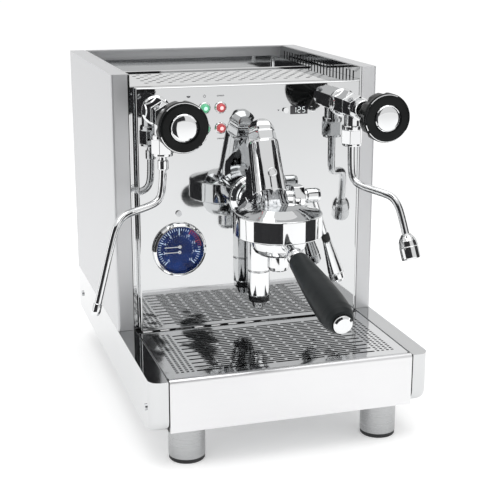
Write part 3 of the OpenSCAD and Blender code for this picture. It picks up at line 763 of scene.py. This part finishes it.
def drip_grille():
    """Polished grille: long staggered slots in the middle, small square holes at both sides."""
    side = GRILLE_HIGH.x
    front = GRILLE_LOW.y
    back = GRILLE_HIGH.y
    top = GRILLE_HIGH.z
    under = top - 1.2
    rows = 22
    pitch = (back - front - 24) / rows
    slot_half, slot_pitch = 12.5, 28
    square_start, square_pitch = 100.5, 5.4
    holes = []
    for row in range(rows):
        y = front + 14 + row * pitch
        odd = row % 2
        for column in range(-3, 4 - odd):
            x = (column + odd / 2) * slot_pitch
            holes.append(rectangle(x - slot_half, y - 1.5, x + slot_half, y + 1.5))
        for mirror in (-1, 1):
            for column in range(4):
                x = mirror * (square_start + column * square_pitch)
                holes.append(rectangle(x - 1.5, y - 1.4, x + 1.5, y + 1.4))
    outline = round_rect(-side, front, side, back, (2, 2, 1, 1))
    shape = Shape()
    shape.slab(outline, under, top, holes=holes)
    # Painted shade: a black sheet under the grille darkens the slots and holes, where the tray below is in
    # shade.
    shade = Shape()
    shade.block((-side + 8, front + 8, top - 4), (side - 8, back - 8, top - 3.4))
    shade.piece("drip_grille_shade", "grille", "rubber_black", replaces=False)
    skirt = round_rect(-side + 1, front + 1, side - 1, back - 1, (1, 1, 1, 1))
    inner = round_rect(-side + 2.2, front + 2.2, side - 2.2, back - 2.2, (1, 1, 1, 1))
    shape.slab(skirt, GRILLE_LOW.z + 0.2, under, holes=[inner])
    shape.piece("drip_grille", "grille", "grille_steel")


def feet():
    """Four steel feet on rubber pads."""
    low, high = local("feet")
    steel = [(0, 4.4), (FOOT_R, 4.4), (FOOT_R, high.z), (0, high.z)]
    pad = [(0, 0), (FOOT_R - 1, 0), (FOOT_R - 0.4, 1), (FOOT_R - 0.4, 4.3), (0, 4.3)]
    sleeve = Shape()
    ring = Shape()
    for x in (low.x + FOOT_R, high.x - FOOT_R):
        for y in (low.y + FOOT_R, high.y - FOOT_R):
            sleeve.lathe(soft(steel, 0.5), upright(x, y, 0))
            ring.lathe(soft(pad, 0.5), upright(x, y, 0))
    sleeve.piece("feet", "case", "foot_steel")
    ring.piece("foot_pads", "case", "rubber_black")


# Brew group --------------------------------------------------------------------------


def group_body():
    """The casting: neck with its flange, bell, boss over the chamber, column with its rib, and
    the sockets of the lever and of the side plug."""
    top = BELL_Z + BELL_H
    body = Shape()
    neck = [(0, 0), (FLANGE_R, 0), (FLANGE_R, 4), (23, 6), (19.5, 8), (18.5, 14), (18.5, 44), (20, 60)]
    body.lathe(soft([*neck, (0, 62)], 1), facing((0, FACE, NECK_Z), (0, -1, 0)))
    bell = [
        (35.4, BELL_Z + 3.5), (35.4, BELL_Z), (BELL_R - 1.2, BELL_Z), (BELL_R, BELL_Z + 0.8),
        (BELL_R, top - 1.4), (BELL_R - 0.6, top - 0.4), (BELL_R - 2.2, top), (BELL_R - 4, top + 0.3),
        (34, top + 2), (22.5, top + 5.6), (0, top + 6),
    ]
    hollow = [(0, BELL_Z + 17), (39, BELL_Z + 17), (39, BELL_Z + 3.5)]
    body.lathe([*hollow, *soft(bell, 0.8)], upright(0, BELL_Y, 0), 128)
    r = CHAMBER_R + 2
    boss = [(0, BELL_Z - 1), (r, BELL_Z - 1), (r, NECK_Z - 6), (9, NECK_Z), (0, NECK_Z)]
    body.lathe(soft(boss, 1), upright(0, CHAMBER_Y, 0))
    column = [(0, -6), (17, -6), (17.4, 12), (17.8, 12.6), (17.6, 16), (16.2, 65), (15.6, 67.5)]
    body.lathe(soft([*column, (13, CAP_AT), (0, CAP_AT)], 0.8), on_column(0))
    arch = [(-15, 0), (15, 0), (15, 51), (9, 64), (0, 75), (-9, 64), (-15, 51)]
    body.slab(arch, 0, 24, facing_front(0, CHAMBER_Y, BELL_Z))
    socket = [(0, 0), (14, 0), (14, 20), (12.8, 22), (8, 22.2), (8, NUT_X), (0, NUT_X)]
    body.lathe(soft(socket, 0.5), facing((0, LEVER_Y, LEVER_Z), (1, 0, 0)))
    lock = upright(17, BELL_Y + 22, top + 4) @ Matrix.Rotation(radians(-24), 4, "Z")
    barrel = [(0, -17), (6.2, -17), (7.4, -15), (7.4, 6), (6.6, 8), (5.4, 9), (5.4, 13), (4.6, 14), (0, 14)]
    body.lathe(soft(barrel, 0.6), lock @ facing((0, 0, 0), (1, 0, 0)), 72)
    body.piece("group_body", "case", "chrome")


def column_trim():
    """What sits on the column: the cast flare at its foot, a plain badge, and the nut and cap."""

    def cast(a, h):
        return 1 + 0.02 * cos(9 * a) + 0.012 * cos(23 * a + 1)

    flare = [(0, -15), (23.5, -15), (22.5, -9.5), (20.4, -5), (18.6, 1), (17.7, 7), (17.3, 12), (15, 13)]
    ring = Shape()
    ring.lathe(soft([*flare, (0, 13)], 1), on_column(0), 192, cast)
    ring.piece("group_ring", "case", "rough_chrome", replaces=False)

    emblem = Shape()
    badge = on_column(30) @ facing_front(0, -16.9, 0)
    emblem.lathe(soft([(0, 0), (5, 0), (5, 1.2), (3.6, 1.4), (3.4, 0.9), (0, 0.9)], 0.2), badge, 48)
    emblem.piece("group_emblem", "case", "chrome", replaces=False)

    cap = Shape()
    cap.slab(hexagon(27), 0, 9.6, on_column(CAP_AT))
    cap.piece("group_cap_nut", "case", "chrome", replaces=False, bevel=1)
    outline = [(0, 9.4), (13.4, 9.4), (14.6, 11.4), (14.8, 15.5), (12.6, 19), (9.5, 22), (5, 24), (0, 24.7)]
    dome = Shape()
    dome.lathe(outline, on_column(CAP_AT), 6)
    dome.piece("group_cap", "case", "chrome", bevel=1.5, crease=60)


def group_fittings():
    """The plug at the casting's side, the chamber under the neck and the nut round the cam shaft."""
    tilt = Matrix.Rotation(radians(20), 4, "Z") @ Matrix.Rotation(radians(-60), 4, "Y")
    seat = upright(-26, BELL_Y + 25, BELL_Z + BELL_H + 2.5) @ tilt
    plug = Shape()
    plug.slab(hexagon(13), 0, 7, seat)
    plug.lathe(soft([(0, -10), (5, -10), (5, 0), (0, 0)], 0.4), seat, 48)
    plug.piece("group_side_plug", "case", "chrome", bevel=0.7)

    chamber = Shape()
    r = CHAMBER_R
    outline = [
        (0, 123), (5.2, 123), (6, 124), (8.5, 132), (8.5, 137), (r - 1, 137.6), (r, 139), (r, 165.2),
        (r - 0.8, 165.7), (r - 0.8, 166.6), (r, 167), (r, BELL_Z - 1.2), (0, BELL_Z - 1.2),
    ]
    chamber.lathe(soft(outline, 0.4), upright(0, CHAMBER_Y, 0))
    chamber.slab(hexagon(20, 30), 131, 137.5, upright(0, CHAMBER_Y, 0))
    chamber.piece("infusion_chamber", "case", "chrome")

    nut = Shape()
    along = facing((NUT_X, LEVER_Y, LEVER_Z), (1, 0, 0))
    nut.lathe(soft([(0, 0), (8, 0), (8, 1.6), (7.4, 2), (7.4, 3), (8, 3.4), (8, 4), (0, 4)], 0.2), along)
    nut.slab(hexagon(24, 0), 4, 16, along)
    nut.piece("cam_nut", "case", "chrome", bevel=0.9)


def lever():
    """Cam shaft with the lever's rod, its black collar and its chrome grip."""
    shaft = Shape()
    along = facing((0, LEVER_Y, LEVER_Z), (1, 0, 0))
    shaft.lathe(soft([(0, 4), (6, 4), (6, 50.5), (8, 50.5), (8, 62), (6.8, 65.5), (0, 66)], 0.8), along)
    shaft.lathe(soft([(0, 5), (3.2, 5), (3.2, 46), (0, 46)], 0.3), on_lever(0), 48)
    shaft.piece("lever_shaft", "lever", "chrome")
    collar = Shape()
    ring = [(0, 46), (4.2, 46), (4.7, 47.5), (4.7, 53.5), (4.3, 55), (0, 55)]
    collar.lathe(soft(ring, 0.4), on_lever(0), 64)
    collar.piece("lever_collar", "lever", "collar_black")
    grip = Shape()
    outline = [
        (0, 0), (4.5, 0), (4.9, 1), (8.5, 37), (8.1, 38), (8.1, 38.8), (8.6, 39.4), (8.3, 45), (6.6, 48.2),
        (3, 49), (0, 49),
    ]
    grip.lathe(soft(outline, 0.4), on_lever(55), 72)
    grip.piece("lever_grip", "lever", "chrome")


# Portafilter -------------------------------------------------------------------------


def portafilter():
    """Bowl with its ears and neck, the stub under it, the grip and the grip's end cap."""
    middle = upright(0, BELL_Y, BELL_Z)
    body = Shape()
    bowl = [
        (0, -21), (13, -21), (21, -19.6), (25, -16.8), (27.6, -12.5), (28.8, -8), (29.3, -4.5), (32, -2.4),
        (34.3, -0.6), (34.3, 12), (32.2, 12), (32.2, 0.5), (27.5, -7), (26, -13), (18, -17), (0, -19),
    ]
    body.lathe(soft(bowl, 0.6), middle, 128)
    for side in (-1, 1):
        near, far = sorted((side * 33.8, side * 38.2))
        body.block((near, BELL_Y - 6.5, BELL_Z + 4), (far, BELL_Y + 6.5, BELL_Z + 8.6))
    neck = [(0, -4), (7, -4), (5.2, 1), (5, 5), (5.2, 12), (7.6, 14.5), (8.7, 17), (9, 21), (8.4, 25)]
    body.lathe(soft([*neck, (6.6, NECK_LEN), (0, NECK_LEN)], 0.6), on_handle(0), 72)
    body.piece("portafilter_body", "portafilter", "chrome")

    spout = Shape()
    stub = [(0, -30), (8, -30), (8, -37.4), (8.8, -37.9), (10, -36.4), (10.8, -33.5), (10.8, -20.5)]
    spout.lathe(soft([*stub, (0, -20.5)], 0.5), middle, 72)
    spout.piece("portafilter_spout", "portafilter", "chrome")

    grip = Shape()
    outline = [
        (0, 0), (8.6, 0), (9.6, 1.2), (10.4, 4), (11.2, 16), (12.2, 28), (13.5, 44), (14.9, 66), (15.6, 86),
        (15.7, 98), (15.2, 108), (13.8, 115), (11.6, 119.6), (9.4, 121.6), (9.2, GRIP_LEN), (0, GRIP_LEN),
    ]
    grip.lathe(soft(outline, 0.6), on_handle(NECK_LEN), 96)
    grip.piece("portafilter_grip", "portafilter", "grip_black")

    end = Shape()
    button = [(0, 0), (8, 0), (8, 4), (9.1, 4.2), (9, 5.8), (7, 7.2), (4, 7.7), (0, 7.9)]
    end.lathe(soft(button, 0.4), on_handle(NECK_LEN + GRIP_LEN), 72)
    end.piece("grip_end_cap", "portafilter", "chrome")


# Valves and wands ----------------------------------------------------------------------


def valve(name, side):
    """Hexagonal valve body with its wand nut below and a screw on its flank."""
    x = side * VALVE_X
    shape = Shape()
    along = facing_front(x, FACE, VALVE_Z)
    shape.lathe(soft([(0, 0), (15.5, 0), (15.5, 1.6), (13.6, 3), (0, 3)], 0.4), along)
    shape.slab(hexagon(25, 30), 2, 31, along)
    shape.slab(hexagon(24, 30), 31, 52, along)
    shape.lathe(soft([(0, 50), (10.5, 50), (10.5, 63), (9.8, 64), (0, 64)], 0.4), along)
    shape.lathe(soft([(0, 0), (9, 0), (9, 25), (0, 25)], 0.4), upright(x, BALL_Y, 316))
    shape.lathe(soft([(7.3, 0), (10.2, 0), (10.5, 0.8), (10.5, 3), (7.3, 3)], 0.3), upright(x, BALL_Y, 298))
    shoulder = [(0, 0), (10.9, 0), (11.2, 1), (11.2, 4), (10.6, 5), (0, 5)]
    shape.lathe(soft(shoulder, 0.3), upright(x, BALL_Y, 315.5))
    shape.piece(name, "case", "chrome", bevel=0.5)
    nut = Shape()
    nut.slab(hexagon(21), 300.6, 315.6, upright(x, BALL_Y, 0), [circle(0, 0, 8.4, 32)])
    nut.piece(name + "_nut", "case", "chrome", replaces=False, bevel=0.9)
    screw = Shape()
    head = [(0, 0), (3, 0), (3, 1.6), (1.4, 1.8), (1.3, 1), (0, 1)]
    screw.lathe(soft(head, 0.2), facing((x - 9.4, -58, VALVE_Z + 9), (-0.5, 0, 0.866)), 32)
    screw.piece(name + "_screw", "case", "screw_steel", replaces=False)


def knob(name, body, side):
    """Fluted black knob with a chrome line round its front and a chrome cap in the middle."""
    place = facing_front(side * VALVE_X, KNOB_FRONT, VALVE_Z)
    lobes = 8
    flute = 0.085

    def fluted(a, h):
        fade = min(1, max(0, (-h - 3.5) / 5))
        return 1 - flute * fade * max(0, cos(lobes * a)) ** 1.5

    shape = Shape()
    outline = [
        (0, -60), (4, -60), (4, -46), (6.6, -46), (6.6, -35), (10, -32), (14, -28), (19, -24), (23, -20.5),
        (KNOB_R - 0.3, -16), (KNOB_R, -12), (KNOB_R, -9), (KNOB_R, -6), (KNOB_R, -3.4),
    ]
    shape.lathe(soft(outline, 0.8), place, lobes * 24, fluted)
    front = [
        (KNOB_R, -3.4), (KNOB_R - 0.5, -1.6), (KNOB_R - 2.2, -0.4), (KNOB_R - 4, 0), (15.4, 0), (14.2, -0.5),
        (14, -3.6), (0, -3.6),
    ]
    shape.lathe(soft(front, 0.4), place, lobes * 24)
    shape.piece(name, body, "knob_black")
    low, high = KNOB_R - 1.6, KNOB_R - 0.9
    line = Shape()
    line.lathe([(low, -1.5), (high, -1.5), (high, -0.9), (low, -0.45), (low, -1.5)], place, 128)
    line.piece(name + "_line", body, "chrome", replaces=False)
    cap = Shape()
    dome = [(0, -4), (13.6, -4), (13.6, 0.2), (12.9, 0.9), (12.2, 0.6)]
    dome += [(12 * cos(radians(a)), 0.6 + 1.3 * sin(radians(a))) for a in range(10, 90, 10)] + [(0, 1.9)]
    cap.lathe([(r, h - 0.1) for r, h in dome], place, 96)
    cap.piece(name + "_cap", body, "chrome")


# Middle lines of the wands, from the ball to the end
STEAM_ROUTE = [
    (-105, BALL_Y, BALL_Z), (-105, BALL_Y, 285), (-106, -39, 262), (-109, -40, 252), (-117, -43, 247),
    (-138, -50, 243), (-150, -56, 241), (-158, -62, 235), (-163, -65, 226), (-184, -77.5, 156),
]
WATER_ROUTE = [
    (105, BALL_Y, BALL_Z), (105, BALL_Y, 290), (105.5, -42, 268), (107, -45, 260), (112, -54, 255),
    (128, -75, 251), (136, -84, 248), (140, -91, 240), (142, -97, 228), (144, -104, 211),
]


def wand(name, body, route, r, tip=()):
    """Bent tube that hangs from its ball; tip gives (distance, radius) past the route's end."""
    shape = Shape()
    line = smooth_line(route)
    end = line[-1]
    onward = (end - line[-2]).normalized()
    radii = [r] * len(line)
    for distance, radius in tip:
        line.append(end + onward * distance)
        radii.append(radius)
    shape.tube(line, radii, 40)
    turns = [radians(a) for a in range(0, 181, 9)]
    shape.lathe([(abs(BALL_R * sin(a)), -BALL_R * cos(a)) for a in turns], upright(*route[0]), 64)
    shape.piece(name, body, "chrome", crease=50)
    return end, onward


def wands():
    steam_r, water_r = 3.9, 4.25
    ferrule_z = 283.5
    nozzle = [(0.4, 4.5), (1, 4.7), (8, 4.8), (9, 4.6), (12, 3.4), (12.8, 2.4)]
    wand("steam_wand", "steam_arm", STEAM_ROUTE, steam_r, nozzle)
    end, onward = wand("water_wand", "water_arm", WATER_ROUTE, water_r)
    tip = Shape()
    outline = [
        (0, 0), (5.2, 0), (6, 0.8), (6.2, 1.6), (7.4, 2.8), (8.8, 5), (10, 8.4), (10.5, 12), (10.7, 14),
        (10.3, 14.5), (10.6, 15), (10.5, 26.4), (10, 27.6), (9, 28), (7.6, 27.6), (7.5, 21), (0, 21),
    ]
    tip.lathe(soft(outline, 0.35), facing(end, onward))
    tip.piece("water_tip", "water_arm", "chrome")
    collar = Shape()
    ferrule = [(steam_r, 0), (5.2, 0), (5.6, 1), (5.6, 9), (5.2, 10), (steam_r, 10), (steam_r, 0)]
    collar.lathe(soft(ferrule, 0.4), upright(-VALVE_X, BALL_Y, ferrule_z), 48)
    collar.piece("steam_ferrule", "steam_arm", "chrome", replaces=False)


# Gauge, lamps and display ----------------------------------------------------------------


def gauge():
    """Gauge ring, the marks of its two scales, the red band and the numbers."""
    place = facing_front(GAUGE_X, FACE, GAUGE_Z)
    ticks, small_ticks, numbers = 41, 21, 9
    low, high = 0.82, 0.98
    case = Shape()
    r = GAUGE_R
    ring = [
        (26, 0.2), (r - 0.4, 0.2), (r, 1), (r, 2.4), (r - 0.8, 4.4), (r - 2.6, 6), (r - 3.6, 6.4),
        (26.2, 5.6), (25.9, 4.4), (25.9, 0.2),
    ]
    case.lathe(soft(ring, 0.5), place, 128)
    case.piece("gauge_case", "case", "chrome")
    marks = Shape()
    red = Shape()
    for i in range(ticks):
        turn = Matrix.Rotation(radians(225 - i * 270 / (ticks - 1)), 4, "Z")
        inner, half = (19.0, 0.45) if i % 5 == 0 else (20.8, 0.26)
        tick = red if 24 < i < 33 else marks
        tick.block((inner, -half, low), (23.6, half, high), place @ turn)
    for i in range(small_ticks):
        turn = Matrix.Rotation(radians(200 - i * 220 / (small_ticks - 1)), 4, "Z")
        marks.block((14.6, -0.14, low), (15.6, 0.14, high), place @ turn)
    band = arc(0, 0, 24.7, 5, 60, 18) + arc(0, 0, 24.1, 60, 5, 18)
    red.slab(band, low, 0.95, place)
    marks.piece("dial_marks", "case", "dial_print_and_glow", replaces=False)
    red.piece("dial_red", "case", "print_red", replaces=False)
    for i in range(numbers):
        angle = radians(225 - i * 270 / (numbers - 1))
        text = bpy.data.curves.new(f"dial_number_{i}", "FONT")
        text.body = str(2 * i)
        text.size = 4.2
        text.align_x = "CENTER"
        text.align_y = "CENTER"
        obj = bpy.data.objects.new(f"dial_number_{i}", text)
        scene.collection.objects.link(obj)
        obj.matrix_world = MACHINE @ place @ upright(17.3 * cos(angle), 17.3 * sin(angle), 0.9)
        text.materials.append(LOOKS["dial_print_and_glow"])
        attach(obj, "case")


def lamps():
    """Six lamps: chrome bezels, faceted lenses, and a pale core in the coloured ones."""
    ring = [(4.9, -2), (6.3, 0.1), (6.5, 0.5), (6.3, 1.6), (5.6, 2.4), (5.1, 2.3), (4.9, 1.4), (4.9, -2)]
    dome = [(0, 0), (4.7, 0), (4.7, 3.0), (3.6, 4.5), (2.2, 5.4), (0, 5.9)]
    glow = [(0, 5), (2.3, 5), (2.0, 5.7), (0, 6.0)]
    bezels = Shape()
    for x in LAMP_COLUMNS:
        for z in LAMP_ROWS:
            bezels.lathe(soft(ring, 0.2), facing_front(x, FACE, z), 64)
    bezels.piece("lamp_bezels", "case", "chrome")
    for colour, x in zip(("clear", "green", "red"), LAMP_COLUMNS):
        name = colour + "_lenses"
        slot = "lamp_" + colour
        shape = Shape()
        for z in LAMP_ROWS:
            shape.lathe(dome, facing_front(x, FACE, z), 10)
        shape.piece(name, "case", slot, crease=5)
        if colour != "clear":
            core = Shape()
            for z in LAMP_ROWS:
                core.lathe(glow, facing_front(x, FACE, z), 8)
            core.piece(name + "_core", "case", slot + "_core", replaces=False, crease=5)


def symbols():
    """Small plain signs above and below the lamps (cup, switch, coil) and by the left button."""
    shape = Shape()
    low, high = 0.02, 0.1
    upper_row, lower_row = LAMP_ROWS
    for z in (upper_row + 12.6, lower_row - 11.4):
        cup, switch, coil = (facing_front(x, FACE, z) for x in LAMP_COLUMNS)
        shape.slab(arc(0, 0.9, 2.2, 180, 360, 10), low, high, cup)
        shape.slab(arc(0, 0, 1.6, 125, 415, 14) + arc(0, 0, 1.15, 415, 125, 14), low, high, switch)
        shape.block((-0.2, 0.1, low), (0.2, 2.0, high), switch)
        for i in range(5):
            x = -3 + i * 1.5
            shape.slab([(x - 0.5, -1), (x - 0.1, -1), (x + 0.5, 1), (x + 0.1, 1)], low, high, coil)
        shape.block((-4.2, -0.2, low), (4.2, 0.2, high), coil)
    arrow = facing_front(LEFT_BUTTON_X - 8, FACE, DISPLAY.z)
    shape.slab([(-1.2, 1), (1.2, 1), (0, -0.8)], low, high, arrow)
    shape.piece("panel_symbols", "case", "print_grey", replaces=False)


def display_digits():
    """The number 125 in seven-segment bars: those that lie, then those that stand."""
    shape = Shape()
    place = facing_front(DISPLAY.x, FACE - 0.6, DISPLAY.z)
    size, pitch = 2.9, 5.2
    half, thin, long = size / 2, 0.55 / 2, size / 2 * 0.8
    bars = {
        "a": (0, size, long, thin), "g": (0, 0, long, thin), "d": (0, -size, long, thin),
        "b": (half, half, thin, long), "c": (half, -half, thin, long),
        "f": (-half, half, thin, long), "e": (-half, -half, thin, long),
    }
    for i, digit in enumerate(("bc", "abged", "afgcd")):
        for bar in digit:
            x, y, half_x, half_y = bars[bar]
            x += (i - 1) * pitch
            shape.block((x - half_x, y - half_y, 0.01), (x + half_x, y + half_y, 0.06), place)
    shape.piece("display_digits", "case", "digit_white", replaces=False)


# Room ----------------------------------------------------------------------------------


def floor():
    """Pale round floor, wide enough to fill every view."""
    mesh = bmesh.new()
    bmesh.ops.create_circle(mesh, cap_ends=True, radius=30, segments=96)
    data = bpy.data.meshes.new("floor")
    mesh.to_mesh(data)
    mesh.free()
    matt = {"specular_ior_level": 0.0, "emission_strength": 0.3}
    look = Look("pale floor", (0.86, 0.86, 0.86), 0, 1.0, **matt)
    look.set("Emission Color", (1, 1, 1, 1))
    look.vary_colour(look.noise(3), (0.87, 0.87, 0.87))
    data.materials.append(look.material)
    obj = bpy.data.objects.new("floor", data)
    scene.collection.objects.link(obj)


def card(name, start, end, radius, low, high):
    """Dark curved studio card that only reflections see, between two directions in degrees.

    Its radius and heights are in metres.
    """
    steps = 12
    curve = arc(0, 0, radius, start - 90, end - 90, steps)
    points = [(x, y, z) for x, y in curve for z in (low, high)]
    faces = [(2 * k, 2 * k + 2, 2 * k + 3, 2 * k + 1) for k in range(steps)]
    data = bpy.data.meshes.new(name)
    data.from_pydata(points, [], faces)
    look = Look("studio card", (0.012, 0.012, 0.014), 0, 0.9)
    look.vary_colour(look.noise(4), (0.02, 0.02, 0.022))
    data.materials.append(look.material)
    obj = bpy.data.objects.new(name, data)
    scene.collection.objects.link(obj)
    obj.visible_camera = False
    obj.visible_shadow = False
    obj.visible_diffuse = False
    obj.visible_transmission = False


def softbox(name, place, aim, size, power):
    """Rectangular light; lengths are in metres and the power in watts."""
    data = bpy.data.lights.new(name, "AREA")
    data.shape = "RECTANGLE"
    data.size, data.size_y = size
    data.energy = power
    obj = bpy.data.objects.new(name, data)
    turn = (Vector(aim) - Vector(place)).to_track_quat("-Z", "Y").to_matrix().to_4x4()
    obj.matrix_world = Matrix.Translation(place) @ turn
    scene.collection.objects.link(obj)


def room():
    floor()
    world = bpy.data.worlds.new("studio")
    world.use_nodes = True
    scene.world = world
    background = world.node_tree.nodes["Background"]
    background.inputs["Color"].default_value = (1, 1, 1, 1)
    background.inputs["Strength"].default_value = 0.85
    softbox("top light", (0, -0.2, 1.9), (0, 0, 0.2), (1.6, 1.6), 12)
    softbox("left light", (-1.9, -0.5, 0.9), (0, 0, 0.2), (0.9, 1.4), 5)
    softbox("right light", (1.9, -0.9, 0.9), (0, 0, 0.2), (0.9, 1.4), 5)
    card("left card", -77, -5, 0.78, 0.0, 0.8)
    card("upper middle card", -5, 6, 0.78, 0.36, 0.95)
    card("right card", 48, 84, 0.78, 0.0, 0.8)
    scene.view_settings.view_transform = "Standard"


def camera():
    """Camera at the photograph's viewing angle; angles are in degrees."""
    azimuth, elevation, roll = -17.221, 15.338, 0.095
    distance = 1.272247
    target = MACHINE @ Vector((2.198, 0, 177.404))
    data = bpy.data.cameras.new("camera")
    data.sensor_width = 36
    data.lens = 81.52
    data.clip_end = 50
    obj = bpy.data.objects.new("camera", data)
    scene.collection.objects.link(obj)
    turn = Matrix.Identity(4)
    for angle, axis in ((azimuth, "Z"), (90 - elevation, "X"), (roll, "Z")):
        turn = turn @ Matrix.Rotation(radians(angle), 4, axis)
    obj.matrix_world = Matrix.Translation(target) @ turn @ Matrix.Translation((0, 0, distance))
    scene.camera = obj


camera()
room()
dress_cad_nodes()
side_panel("left_side_panel", -1)
side_panel("right_side_panel", 1)
front_panel()
cup_deck()
tank_lid()
base_cheeks()
drawer_front()
drip_grille()
feet()
group_body()
column_trim()
group_fittings()
lever()
portafilter()
valve("steam_valve", -1)
valve("water_valve", 1)
knob("steam_knob", "steam_tap", -1)
knob("water_knob", "water_tap", 1)
wands()
gauge()
lamps()
symbols()
display_digits()
